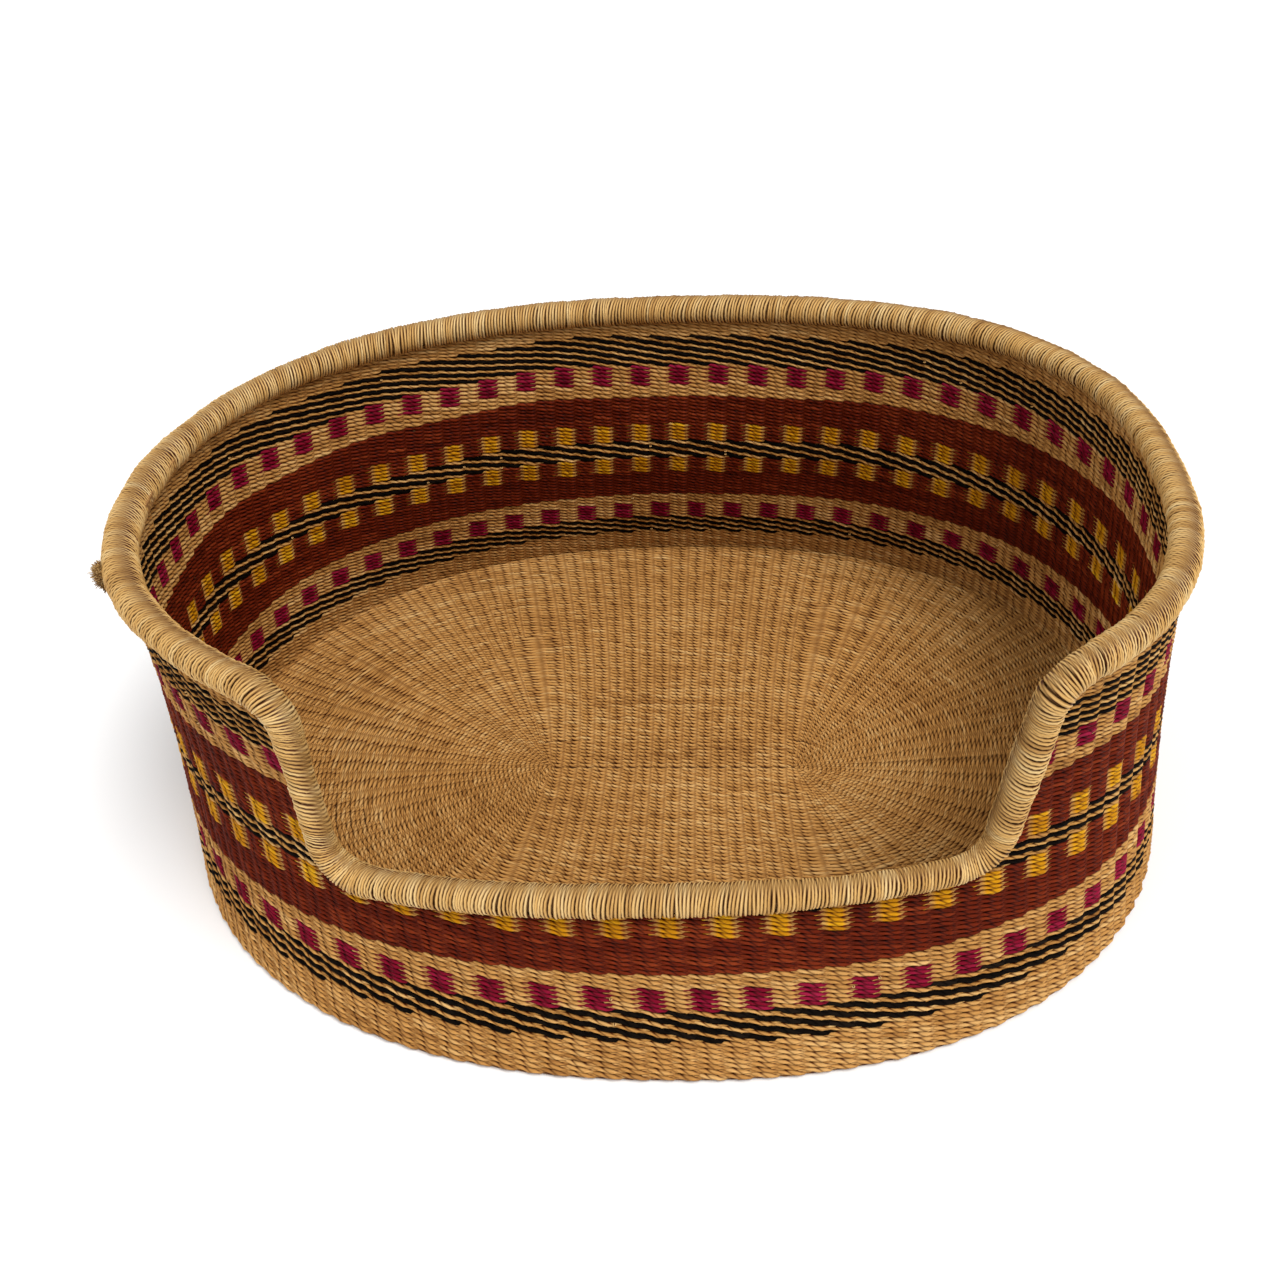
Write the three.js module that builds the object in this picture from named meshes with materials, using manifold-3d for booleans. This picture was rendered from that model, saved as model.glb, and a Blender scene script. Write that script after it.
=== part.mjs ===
// An oval dog basket of twined grass: a flat woven floor, a wall woven in coloured bands
// between an inner and an outer face, upright stakes between those faces, and a wrapped
// rim that dips into a low doorway at the front. Millimetres, +Z up, the front towards -Y.
import * as THREE from "three";
import { mergeVertices } from "three/addons/utils/BufferGeometryUtils.js";
import Module from "manifold-3d";

const wasm = await Module();
wasm.setup();

// Plan of the wall's middle surface at the floor, half way up and at the rim.
const FLOOR_HALF_LENGTH = 379;
const MIDDLE_HALF_LENGTH = 367;
const RIM_HALF_LENGTH = 360;
const FLOOR_HALF_WIDTH = 303;
const MIDDLE_HALF_WIDTH = 274;
const RIM_HALF_WIDTH = 283;
const RIM_SHIFT_LEFT = 6.5;
// How square the oval is: 2 is an ellipse. The left end is the more pointed one.
const FLOOR_LEFT_SQUARENESS = 2.25;
const FLOOR_RIGHT_SQUARENESS = 2.31;
const RIM_LEFT_SQUARENESS = 2.19;
const RIM_RIGHT_SQUARENESS = 2.45;

// Heights. The rim stands a little higher at the front than at the back.
const RIM_HEIGHT = 283;
const FRONT_RISE = 13;

// The weave: two faces of strand with a slot between them for the stakes.
const STRAND_THICKNESS = 2.5;
const STAKE_DIAMETER = 2.4;
const CLEARANCE = 0.3;

// The height of one row of strand, which is less near the rim and more at the foot.
const ROWS_IN_RIM_HEIGHT = 73.89;
const ROW_PITCH = RIM_HEIGHT / ROWS_IN_RIM_HEIGHT;
const TOP_ROW_SHARE = 0.8094;
const FOOT_ROW_SHARE = 1.0836;

// Rows of strand in each colour band, from the floor up.
const FOOT_ROWS = 7;
const LOWER_STRIPE_ROWS = 6;
const CHECK_ROWS = 5;
const PLAIN_ROWS = 3;
const RUST_ROWS = 7.5;
const YELLOW_ROWS = 5;
const MIDDLE_STRIPE_ROWS = 5;
const UPPER_STRIPE_ROWS = 9;

// The stakes stand round the wall and meet on the floor at two fan centres.
const STAKE_COUNT = 120;
const CROSS_STAKE_COUNT = 17;
const STAKE_OFFSET = 0.25;
const CROSS_STAKE_PITCH = 12.3;
const STAKE_LEAN = 0.056;
const START_ROW_WIDTH = 8;
const START_ROW_RIGHT = 3;
const START_ROW_FORWARD = 11;
const FAN_HUB_RADIUS = 44;
const FAN_HUB_OFFSET = 8;
const FAN_HUB_STEPS = 12;
const HUB_THICKNESS = 1;
const STAKE_SIDES = 3;
const STAKE_START_SHARE = 0.9;

// Where the two faces of the weave cross between stakes and hold together.
const CROSSING_COUNT = 8;
const CROSSING_WIDTH = 6;
const CROSSING_INSET_SHARE = 0.25;
const FLOOR_CROSSING_WIDTH = 4;
const FLOOR_CROSSING_REACH = 0.62;
const FLOOR_EDGE_OUT = 3;

// The rim: a core bundle inside a wound binding.
const RIM_RADIUS = 11;
const BINDING_THICKNESS = 2.7;
const BINDING_SLOT_HALF_ANGLE = THREE.MathUtils.degToRad(18);
const BINDING_SIDES = 7;

// The doorway, as the rim's centre line is seen from the front.
const DOORWAY_LEFT = -209;
const DOORWAY_RIGHT_AT_SILL = 218;
const DOORWAY_RIGHT_AT_TOP = 239;
const SILL_HEIGHT_LEFT = 134;
const SILL_HEIGHT_MIDDLE = 151;
const SILL_HEIGHT_RIGHT = 146;
const DOORWAY_LOWER_RADIUS = 27;
const DOORWAY_UPPER_RADIUS = 26;
const DOORWAY_CORNER_STEPS = 4;
const SILL_STEPS = 6;

// The tied end of the binding, outside the left end of the rim.
const TUFT_LENGTH = 12;
const TUFT_NECK_RADIUS = 5;
const TUFT_END_RADIUS = 12;
const TUFT_TIP_RADIUS = 7;
const TUFT_FLARE_LENGTH = 7;
const TUFT_SIDES = 12;
const TUFT_TURN = THREE.MathUtils.degToRad(200);
const TUFT_DROOP = THREE.MathUtils.degToRad(4);

// How finely the oval is faceted.
const FACETS = 36;
const PLAN_SAMPLES = 720;
const FRONT_PASSES = 6;
const MERGE_DISTANCE = 1e-4;

const HALF_SLOT = STAKE_DIAMETER / 2 + CLEARANCE;
const HALF_WALL = HALF_SLOT + STRAND_THICKNESS;
const FLOOR_THICKNESS = 2 * HALF_WALL;
const STAKE_FLOOR_HEIGHT = HALF_WALL;
const FOOT_BOTTOM = STRAND_THICKNESS + CLEARANCE;
const FOOT_BOTTOM_INSIDE = FLOOR_THICKNESS + 2 * CLEARANCE;
const CORE_RADIUS = RIM_RADIUS - BINDING_THICKNESS - CLEARANCE;
const RIM_GAP = RIM_RADIUS + CLEARANCE;

// Heights where each colour band starts, and the levels between which the wall is straight.
const LOWER_STRIPE_START = FOOT_BOTTOM + FOOT_ROWS * FOOT_ROW_SHARE * ROW_PITCH;
const LOWER_CHECK_START = LOWER_STRIPE_START + LOWER_STRIPE_ROWS * ROW_PITCH;
const LOWER_RUST_START = LOWER_CHECK_START + (CHECK_ROWS + PLAIN_ROWS) * ROW_PITCH;
const MIDDLE_STRIPE_START = LOWER_RUST_START + (RUST_ROWS + YELLOW_ROWS) * ROW_PITCH;
const UPPER_RUST_START = MIDDLE_STRIPE_START + MIDDLE_STRIPE_ROWS * ROW_PITCH;
const UPPER_CHECK_START = UPPER_RUST_START + (RUST_ROWS + YELLOW_ROWS) * ROW_PITCH;
const UPPER_STRIPE_START = UPPER_CHECK_START + (CHECK_ROWS + PLAIN_ROWS) * ROW_PITCH;
const TOP_PLAIN_START = UPPER_STRIPE_START + UPPER_STRIPE_ROWS * TOP_ROW_SHARE * ROW_PITCH;
const STRAIGHT_LEVELS = [0, LOWER_CHECK_START, MIDDLE_STRIPE_START, UPPER_CHECK_START, RIM_HEIGHT];

const NATURAL = "#c69a58";
const BLACK = "#2b2420";
const RUST = "#7d3217";
const MAGENTA = "#8d1d52";
const PALE = "#d9b878";
const WOVEN_ROUGHNESS = 0.85;
const STAKE_ROUGHNESS = 0.8;
const BINDING_ROUGHNESS = 0.7;

// A value that runs through three given values at the floor, half way up and at the rim.
function throughThree(low, middle, high, rise) {
  const fromLow = 2 * (rise - 0.5) * (rise - 1) * low;
  const fromMiddle = 4 * rise * (1 - rise) * middle;
  const fromHigh = 2 * rise * (rise - 0.5) * high;
  return fromLow + fromMiddle + fromHigh;
}

// The oval's sizes at a nominal height, straight between the given levels.
function ovalAt(height, left) {
  const above = STRAIGHT_LEVELS.findIndex((level) => level >= height);
  const next = above < 1 ? (above < 0 ? STRAIGHT_LEVELS.length - 1 : 1) : above;
  const low = STRAIGHT_LEVELS[next - 1];
  const high = STRAIGHT_LEVELS[next];
  const share = (height - low) / (high - low);
  const from = smoothOval(low, left);
  const to = smoothOval(high, left);
  const between = (key) => THREE.MathUtils.lerp(from[key], to[key], share);
  return {
    halfLength: between("halfLength"),
    halfWidth: between("halfWidth"),
    squareness: between("squareness"),
    shift: between("shift"),
  };
}

// The oval's sizes on the smooth profile.
function smoothOval(height, left) {
  const rise = height / RIM_HEIGHT;
  const floorSquareness = left ? FLOOR_LEFT_SQUARENESS : FLOOR_RIGHT_SQUARENESS;
  const rimSquareness = left ? RIM_LEFT_SQUARENESS : RIM_RIGHT_SQUARENESS;
  return {
    halfLength: throughThree(FLOOR_HALF_LENGTH, MIDDLE_HALF_LENGTH, RIM_HALF_LENGTH, rise),
    halfWidth: throughThree(FLOOR_HALF_WIDTH, MIDDLE_HALF_WIDTH, RIM_HALF_WIDTH, rise),
    squareness: THREE.MathUtils.lerp(floorSquareness, rimSquareness, rise),
    shift: -RIM_SHIFT_LEFT * rise,
  };
}

// The height at a nominal height, higher at the front and lower at the back.
function tilted(height, depth) {
  const lift = 1 - (FRONT_RISE / RIM_HEIGHT) * depth;
  return FOOT_BOTTOM + (height - FOOT_BOTTOM) * lift;
}

// The outward direction of the oval, level with the ground.
function outwardAt(angle, height) {
  const oval = ovalAt(height, Math.cos(angle) < 0);
  const power = 2 - 2 / oval.squareness;
  const across = Math.sign(Math.cos(angle)) * Math.abs(Math.cos(angle)) ** power;
  const along = Math.sign(Math.sin(angle)) * Math.abs(Math.sin(angle)) ** power;
  return new THREE.Vector3(across / oval.halfLength, along / oval.halfWidth, 0).normalize();
}

// A point on the wall: angle round the oval, nominal height, distance out of the middle surface.
function wallPoint(angle, height, out) {
  const oval = ovalAt(height, Math.cos(angle) < 0);
  const power = 2 / oval.squareness;
  const across = Math.sign(Math.cos(angle)) * Math.abs(Math.cos(angle)) ** power;
  const depth = Math.sign(Math.sin(angle)) * Math.abs(Math.sin(angle)) ** power;
  const x = oval.halfLength * across + oval.shift;
  const point = new THREE.Vector3(x, oval.halfWidth * depth, tilted(height, depth));
  return point.addScaledVector(outwardAt(angle, height), out);
}

// Length walked and angle turned along the oval half way up, as shares of the whole.
function walkPlan() {
  const angles = [];
  const walked = [0];
  const turned = [0];
  for (let i = 0; i <= PLAN_SAMPLES; i++) {
    angles.push((2 * Math.PI * i) / PLAN_SAMPLES);
  }
  for (let i = 1; i <= PLAN_SAMPLES; i++) {
    const here = wallPoint(angles[i], RIM_HEIGHT / 2, 0).setZ(0);
    const before = wallPoint(angles[i - 1], RIM_HEIGHT / 2, 0).setZ(0);
    const outHere = outwardAt(angles[i], RIM_HEIGHT / 2);
    const outBefore = outwardAt(angles[i - 1], RIM_HEIGHT / 2);
    walked.push(walked[i - 1] + here.distanceTo(before));
    turned.push(turned[i - 1] + outHere.angleTo(outBefore));
  }
  const share = (list) => list.map((value) => value / list[PLAN_SAMPLES]);
  return { angles, walked: share(walked), turned: share(turned), girth: walked[PLAN_SAMPLES] };
}
const PLAN = walkPlan();

// The entry of one rising list that matches a value of another, by straight interpolation.
function lookUp(from, to, value) {
  const next = Math.max(1, from.findIndex((entry) => entry >= value));
  const share = (value - from[next - 1]) / (from[next] - from[next - 1]);
  return THREE.MathUtils.lerp(to[next - 1], to[next], share);
}

// Facet corners, closer together where the oval turns faster.
const BLENDED = PLAN.walked.map((walked, i) => (walked + PLAN.turned[i]) / 2);
const CORNERS = [];
for (let i = 0; i < FACETS; i++) {
  CORNERS.push(lookUp(BLENDED, PLAN.angles, i / FACETS));
}

// A point on the facet that a stake position lies on.
function facetPoint(place, height, out) {
  const walked = THREE.MathUtils.euclideanModulo(place / STAKE_COUNT, 1);
  const starts = CORNERS.map((angle) => lookUp(PLAN.angles, PLAN.walked, angle));
  const last = starts.filter((start) => start <= walked).length - 1;
  const end = last + 1 < FACETS ? starts[last + 1] : 1;
  const share = (walked - starts[last]) / (end - starts[last]);
  const from = wallPoint(CORNERS[last], height, out);
  const to = wallPoint(CORNERS[(last + 1) % FACETS], height, out);
  return from.lerp(to, share);
}

// The distance between stakes half way up the wall.
const STAKE_PITCH = PLAN.girth / STAKE_COUNT;

// The place of a stake at a height, as it leans along the wall.
function leaningPlace(stake, height) {
  return stake + STAKE_OFFSET - (STAKE_LEAN * height) / STAKE_PITCH;
}

// A solid lofted through sections with as many corners each, closed on itself or capped.
function loft(sections, closed) {
  const sides = sections[0].length;
  const positions = [];
  const face = (...points) => points.forEach((point) => positions.push(...point.toArray()));
  const spans = closed ? sections.length : sections.length - 1;
  for (let i = 0; i < spans; i++) {
    const here = sections[i];
    const next = sections[(i + 1) % sections.length];
    for (let j = 0; j < sides; j++) {
      const k = (j + 1) % sides;
      face(here[j], next[j], next[k]);
      face(here[j], next[k], here[k]);
    }
  }
  if (!closed) {
    const last = sections.at(-1);
    for (let j = 1; j < sides - 1; j++) {
      face(sections[0][0], sections[0][j], sections[0][j + 1]);
      face(last[0], last[j + 1], last[j]);
    }
  }
  const geometry = new THREE.BufferGeometry();
  return geometry.setAttribute("position", new THREE.Float32BufferAttribute(positions, 3));
}

// A geometry as a solid that can be joined and cut.
function solid(geometry) {
  const bare = new THREE.BufferGeometry();
  const flat = geometry.index ? geometry.toNonIndexed() : geometry;
  bare.setAttribute("position", flat.getAttribute("position"));
  const merged = mergeVertices(bare, MERGE_DISTANCE);
  const triVerts = new Uint32Array(merged.index.array);
  const vertProperties = merged.getAttribute("position").array;
  const made = new wasm.Manifold(new wasm.Mesh({ numProp: 3, vertProperties, triVerts }));
  if (made.volume() > 0) {
    return made;
  }
  triVerts.reverse();
  return new wasm.Manifold(new wasm.Mesh({ numProp: 3, vertProperties, triVerts }));
}

// The largest connected body of a solid: what a cut leaves loose falls away.
function mainBody(shape) {
  return shape.decompose().reduce((best, body) => (body.volume() > best.volume() ? body : best));
}

const basket = new THREE.Group();

// A named mesh of a solid or a geometry in the basket's group.
function addPiece(name, shape, color, roughness) {
  let geometry = shape;
  if (!shape.isBufferGeometry) {
    const mesh = shape.getMesh();
    geometry = new THREE.BufferGeometry();
    geometry.setAttribute("position", new THREE.BufferAttribute(mesh.vertProperties, 3));
    geometry.setIndex(new THREE.BufferAttribute(mesh.triVerts, 1));
  }
  geometry.computeVertexNormals();
  const piece = new THREE.Mesh(geometry, new THREE.MeshStandardMaterial({ color, roughness }));
  piece.name = name;
  basket.add(piece);
}

// The height of the sill's centre line between the doorway's sides.
function sillHeight(x) {
  const share = (x - DOORWAY_LEFT) / (DOORWAY_RIGHT_AT_SILL - DOORWAY_LEFT);
  return throughThree(SILL_HEIGHT_LEFT, SILL_HEIGHT_MIDDLE, SILL_HEIGHT_RIGHT, share);
}

// The doorway's right side at a height, which leans outwards as it rises.
function doorwayRight(z) {
  const share = (z - SILL_HEIGHT_RIGHT) / (RIM_HEIGHT - SILL_HEIGHT_RIGHT);
  return THREE.MathUtils.lerp(DOORWAY_RIGHT_AT_SILL, DOORWAY_RIGHT_AT_TOP, share);
}

// An arc of the doorway's outline in the front view, as a list of points.
function cornerArc(x, z, radius, from, to) {
  const points = [];
  for (let i = 0; i <= DOORWAY_CORNER_STEPS; i++) {
    const angle = THREE.MathUtils.degToRad(from + ((to - from) * i) / DOORWAY_CORNER_STEPS);
    points.push(new THREE.Vector2(x + radius * Math.cos(angle), z + radius * Math.sin(angle)));
  }
  return points;
}

// The height of the rim's centre line beside the doorway, above a point of the front view.
function rimHeightAbove(x) {
  return wallPoint(frontPoint(x, RIM_HEIGHT).angle, RIM_HEIGHT, 0).z;
}

// The doorway's outline in the front view, down the left side, along the sill and up the right
// side, moved away from the opening by a distance.
function doorwayOutline(away) {
  const lower = DOORWAY_LOWER_RADIUS;
  const upper = DOORWAY_UPPER_RADIUS;
  const left = DOORWAY_LEFT;
  const leftTop = rimHeightAbove(left - upper) - upper;
  const rightTop = rimHeightAbove(DOORWAY_RIGHT_AT_TOP + upper) - upper;
  const leftSill = sillHeight(left + lower) + lower;
  const lowRight = doorwayRight(SILL_HEIGHT_RIGHT + lower);
  const rightSill = sillHeight(lowRight - lower) + lower;
  const topRight = doorwayRight(rightTop);
  const sill = [];
  for (let i = 1; i < SILL_STEPS; i++) {
    const x = THREE.MathUtils.lerp(left + lower, lowRight - lower, i / SILL_STEPS);
    sill.push(new THREE.Vector2(x, sillHeight(x) - away));
  }
  return [
    ...cornerArc(left - upper, leftTop, upper - away, 90, 0),
    ...cornerArc(left + lower, leftSill, lower + away, 180, 270),
    ...sill,
    ...cornerArc(lowRight - lower, rightSill, lower + away, 270, 360),
    ...cornerArc(topRight + upper, rightTop, upper - away, 180, 90),
  ];
}

// The wall's angle and nominal height behind a point of the front view.
function frontPoint(x, z) {
  let height = z;
  let angle = 0;
  for (let pass = 0; pass < FRONT_PASSES; pass++) {
    const oval = ovalAt(height, x < 0);
    const across = THREE.MathUtils.clamp((x - oval.shift) / oval.halfLength, -1, 1);
    angle = -Math.acos(Math.sign(across) * Math.abs(across) ** (oval.squareness / 2));
    const depth = -(Math.abs(Math.sin(angle)) ** (2 / oval.squareness));
    height = FOOT_BOTTOM + (z - FOOT_BOTTOM) / (1 - (FRONT_RISE / RIM_HEIGHT) * depth);
  }
  return { angle, height };
}

// The outline of the block that the doorway takes out of the wall, closed above the rim.
function doorwayShape(away) {
  const points = doorwayOutline(away);
  const above = 2 * RIM_HEIGHT;
  points.unshift(new THREE.Vector2(points[0].x, above));
  points.push(new THREE.Vector2(points.at(-1).x, above));
  return points;
}

// The doorway's block as a solid.
function doorwayCutter() {
  const outline = new THREE.Shape(doorwayShape(RIM_GAP));
  const depth = FLOOR_HALF_WIDTH + HALF_WALL;
  const block = new THREE.ExtrudeGeometry(outline, { depth, bevelEnabled: false });
  block.rotateX(Math.PI / 2);
  return solid(block);
}
const DOORWAY = doorwayCutter();

// The nominal height where the wall ends under the rim, for the rim's own height above it.
function underRim(rimZ) {
  const lift = (rimZ - FOOT_BOTTOM) / (RIM_HEIGHT - FOOT_BOTTOM);
  return RIM_HEIGHT - RIM_GAP / lift;
}

// One face of a band: a closed ring between two heights and two distances from the middle.
function bandFace(low, high, inner, outer) {
  const sections = CORNERS.map((angle) => {
    const top = high ?? underRim(wallPoint(angle, RIM_HEIGHT, 0).z);
    return [
      wallPoint(angle, low, inner),
      wallPoint(angle, low, outer),
      wallPoint(angle, top, outer),
      wallPoint(angle, top, inner),
    ];
  });
  return solid(loft(sections, true));
}

// A small block through the slot of the wall where two strands cross between stakes.
function wallCrossing(place, low, high) {
  const half = CROSSING_WIDTH / 2;
  const bite = HALF_SLOT + STRAND_THICKNESS / 2;
  const corner = (height, side, out) => {
    return facetPoint(place + (side * half) / STAKE_PITCH, height, out);
  };
  const section = (height) => [
    corner(height, -1, -bite),
    corner(height, -1, bite),
    corner(height, 1, bite),
    corner(height, 1, -bite),
  ];
  return solid(loft([section(low), section(high)], false));
}

// A colour band: an outer and an inner face, joined where the strands cross, cut by the doorway.
function weaveBand(name, low, high, color, lowInside = low) {
  const top = high ? high - CLEARANCE : undefined;
  let band = bandFace(low, top, HALF_SLOT, HALF_WALL);
  band = band.add(bandFace(lowInside, top, -HALF_WALL, -HALF_SLOT));
  const crossingTop = top ?? underRim(wallPoint(Math.PI / 2, RIM_HEIGHT, 0).z);
  for (let i = 0; i < CROSSING_COUNT; i++) {
    const gap = Math.floor(((i + 0.5) * STAKE_COUNT) / CROSSING_COUNT) + 0.5;
    const place = leaningPlace(gap, (low + crossingTop) / 2);
    const inset = (crossingTop - lowInside) * CROSSING_INSET_SHARE;
    band = band.add(wallCrossing(place, lowInside + inset, crossingTop - inset));
  }
  addPiece(name, mainBody(band.subtract(DOORWAY)), color, WOVEN_ROUGHNESS);
}

weaveBand("foot_plain_band", FOOT_BOTTOM, LOWER_STRIPE_START, NATURAL, FOOT_BOTTOM_INSIDE);
weaveBand("lower_stripe_band", LOWER_STRIPE_START, LOWER_CHECK_START, BLACK);
weaveBand("lower_check_band", LOWER_CHECK_START, LOWER_RUST_START, MAGENTA);
weaveBand("lower_rust_band", LOWER_RUST_START, MIDDLE_STRIPE_START, RUST);
weaveBand("middle_stripe_band", MIDDLE_STRIPE_START, UPPER_RUST_START, BLACK);
weaveBand("upper_rust_band", UPPER_RUST_START, UPPER_CHECK_START, RUST);
weaveBand("upper_check_band", UPPER_CHECK_START, UPPER_STRIPE_START, MAGENTA);
weaveBand("upper_stripe_band", UPPER_STRIPE_START, TOP_PLAIN_START, BLACK);
weaveBand("top_plain_band", TOP_PLAIN_START, undefined, NATURAL);

// Which stakes cross the whole floor, counted from the right end round the back.
const CROSS_HALF = (CROSS_STAKE_COUNT - 1) / 2;
const HUB_X = CROSS_HALF * CROSS_STAKE_PITCH + FAN_HUB_OFFSET;

// How far a stake is from the middle of the back or the front, in stakes, to the right.
function stakesFromMiddle(stake) {
  return stake < STAKE_COUNT / 2 ? STAKE_COUNT / 4 - stake : stake - (3 * STAKE_COUNT) / 4;
}

// Where a stake starts on the floor: on the start row, or in the hub of its fan.
function stakeStart(stake) {
  const steps = stakesFromMiddle(stake);
  const target = facetPoint(leaningPlace(stake, 0), 0, 0);
  if (Math.abs(steps) <= CROSS_HALF) {
    const side = Math.sign(target.y) * STAKE_DIAMETER;
    const x = START_ROW_RIGHT + steps * CROSS_STAKE_PITCH;
    return new THREE.Vector3(x, side - START_ROW_FORWARD, STAKE_FLOOR_HEIGHT);
  }
  const hubX = START_ROW_RIGHT + Math.sign(steps) * HUB_X;
  const hub = new THREE.Vector3(hubX, -START_ROW_FORWARD, STAKE_FLOOR_HEIGHT);
  const away = target.sub(hub).setZ(0).normalize();
  return hub.addScaledVector(away, FAN_HUB_RADIUS * STAKE_START_SHARE);
}

// Whether a point of the front view lies in a closed outline.
function isInside(outline, x, z) {
  let inside = false;
  outline.forEach((here, i) => {
    const next = outline[(i + 1) % outline.length];
    const crosses = here.y > z !== next.y > z;
    const share = (z - here.y) / (next.y - here.y);
    if (crosses && x < here.x + share * (next.x - here.x)) {
      inside = !inside;
    }
  });
  return inside;
}
const STAKE_STOP = doorwayShape(RIM_GAP + STAKE_DIAMETER / 2);

// The nominal height where a stake ends: under the rim, or under the doorway's edge.
function stakeTop(stake) {
  const full = underRim(facetPoint(leaningPlace(stake, RIM_HEIGHT), RIM_HEIGHT, 0).z);
  if (stake < STAKE_COUNT / 2) {
    return full;
  }
  for (let height = LOWER_CHECK_START; height < full; height += CLEARANCE) {
    const point = facetPoint(leaningPlace(stake, height), height, 0);
    if (isInside(STAKE_STOP, point.x, point.z)) {
      return height;
    }
  }
  return full;
}

// A section across a stake: its corners lie round a centre, between two directions.
function stakeSection(centre, along, out) {
  const corners = [];
  for (let i = 0; i < STAKE_SIDES; i++) {
    const angle = (2 * Math.PI * i) / STAKE_SIDES;
    const corner = centre.clone().addScaledVector(out, Math.cos(angle) * (STAKE_DIAMETER / 2));
    corners.push(corner.addScaledVector(along, Math.sin(angle) * (STAKE_DIAMETER / 2)));
  }
  return corners;
}

// One stake, from its start on the floor, round the corner and up the wall.
function stakeRod(stake) {
  const down = new THREE.Vector3(0, 0, -1);
  const foot = leaningPlace(stake, 0);
  const along = facetPoint(foot + 0.5, 0, 0).sub(facetPoint(foot - 0.5, 0, 0)).normalize();
  const outward = new THREE.Vector3().crossVectors(along, new THREE.Vector3(0, 0, 1));
  const corner = facetPoint(foot, STAKE_FLOOR_HEIGHT, 0).setZ(STAKE_FLOOR_HEIGHT);
  const sections = [stakeSection(stakeStart(stake), along, down)];
  sections.push(stakeSection(corner, along, outward.clone().add(down)));
  const top = stakeTop(stake);
  const heights = STRAIGHT_LEVELS.slice(1).filter((level) => level < top - STAKE_DIAMETER);
  [...heights, top].forEach((height) => {
    const centre = facetPoint(leaningPlace(stake, height), height, 0);
    sections.push(stakeSection(centre, along, outward));
  });
  return solid(loft(sections, false));
}

// A group of stakes that grow out of one piece on the floor.
function stakeGroup(name, root, belongs) {
  const rods = [root];
  for (let stake = 0; stake < STAKE_COUNT; stake++) {
    if (belongs(stakesFromMiddle(stake))) {
      rods.push(stakeRod(stake));
    }
  }
  addPiece(name, mainBody(wasm.Manifold.union(rods)), PALE, STAKE_ROUGHNESS);
}

// The hub of a fan: half a disc on the outer side of the fan's centre.
function fanHub(side) {
  const outline = new THREE.Shape();
  outline.absarc(0, 0, FAN_HUB_RADIUS, -Math.PI / 2, Math.PI / 2);
  outline.closePath();
  const settings = { depth: HUB_THICKNESS, bevelEnabled: false, curveSegments: FAN_HUB_STEPS };
  const disc = new THREE.ExtrudeGeometry(outline, settings);
  if (side < 0) {
    disc.rotateZ(Math.PI);
  }
  const bottom = STAKE_FLOOR_HEIGHT - HUB_THICKNESS / 2;
  disc.translate(START_ROW_RIGHT + side * HUB_X, -START_ROW_FORWARD, bottom);
  return solid(disc);
}

const startRow = new THREE.BoxGeometry(2 * (HUB_X - CLEARANCE), START_ROW_WIDTH, HUB_THICKNESS);
startRow.translate(START_ROW_RIGHT, -START_ROW_FORWARD, STAKE_FLOOR_HEIGHT);
stakeGroup("cross_stakes", solid(startRow), (steps) => Math.abs(steps) <= CROSS_HALF);
stakeGroup("right_fan_stakes", fanHub(1), (steps) => steps > CROSS_HALF);
stakeGroup("left_fan_stakes", fanHub(-1), (steps) => steps < -CROSS_HALF);

// One face of the floor weave, as a flat plate inside the wall's oval.
function floorFace(out, bottom, edgeHeight) {
  const points = CORNERS.map((angle) => wallPoint(angle, edgeHeight, out));
  const outline = new THREE.Shape(points.map((point) => new THREE.Vector2(point.x, point.y)));
  const depth = STRAND_THICKNESS;
  const plate = new THREE.ExtrudeGeometry(outline, { depth, bevelEnabled: false });
  plate.translate(0, 0, bottom);
  return solid(plate);
}

// The floor weave: a lower and an upper face, joined where the strands cross between stakes.
let floorWeave = floorFace(FLOOR_EDGE_OUT, 0, 0);
const upperFace = floorFace(-HALF_SLOT, FLOOR_THICKNESS - STRAND_THICKNESS, FLOOR_THICKNESS);
floorWeave = floorWeave.add(upperFace);
for (let i = 0; i < CROSSING_COUNT; i++) {
  const gap = Math.floor(((i + 0.5) * STAKE_COUNT) / CROSSING_COUNT);
  const start = stakeStart(gap).lerp(stakeStart(gap + 1), 0.5);
  const end = facetPoint(leaningPlace(gap + 0.5, 0), 0, 0);
  const centre = start.lerp(end, FLOOR_CROSSING_REACH);
  const height = FLOOR_THICKNESS - STRAND_THICKNESS;
  const block = new THREE.BoxGeometry(FLOOR_CROSSING_WIDTH, FLOOR_CROSSING_WIDTH, height);
  block.translate(centre.x, centre.y, FLOOR_THICKNESS / 2);
  floorWeave = floorWeave.add(solid(block));
}
addPiece("floor_weave", floorWeave, NATURAL, WOVEN_ROUGHNESS);

// The rim's centre line: round the top from the right post to the left one, then the doorway.
function rimPath() {
  const doorway = doorwayOutline(0).map((point) => frontPoint(point.x, point.y));
  const first = doorway.at(-1).angle;
  const last = doorway[0].angle + 2 * Math.PI;
  const spare = (DOORWAY_CORNER_STEPS * RIM_RADIUS) / FLOOR_HALF_LENGTH / 2;
  const turns = [...CORNERS, ...CORNERS.map((angle) => angle - 2 * Math.PI)].sort((a, b) => a - b);
  const top = turns.filter((angle) => angle > first + spare && angle < last - spare);
  return [...top.map((angle) => ({ angle, height: RIM_HEIGHT })), ...doorway];
}

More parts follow.
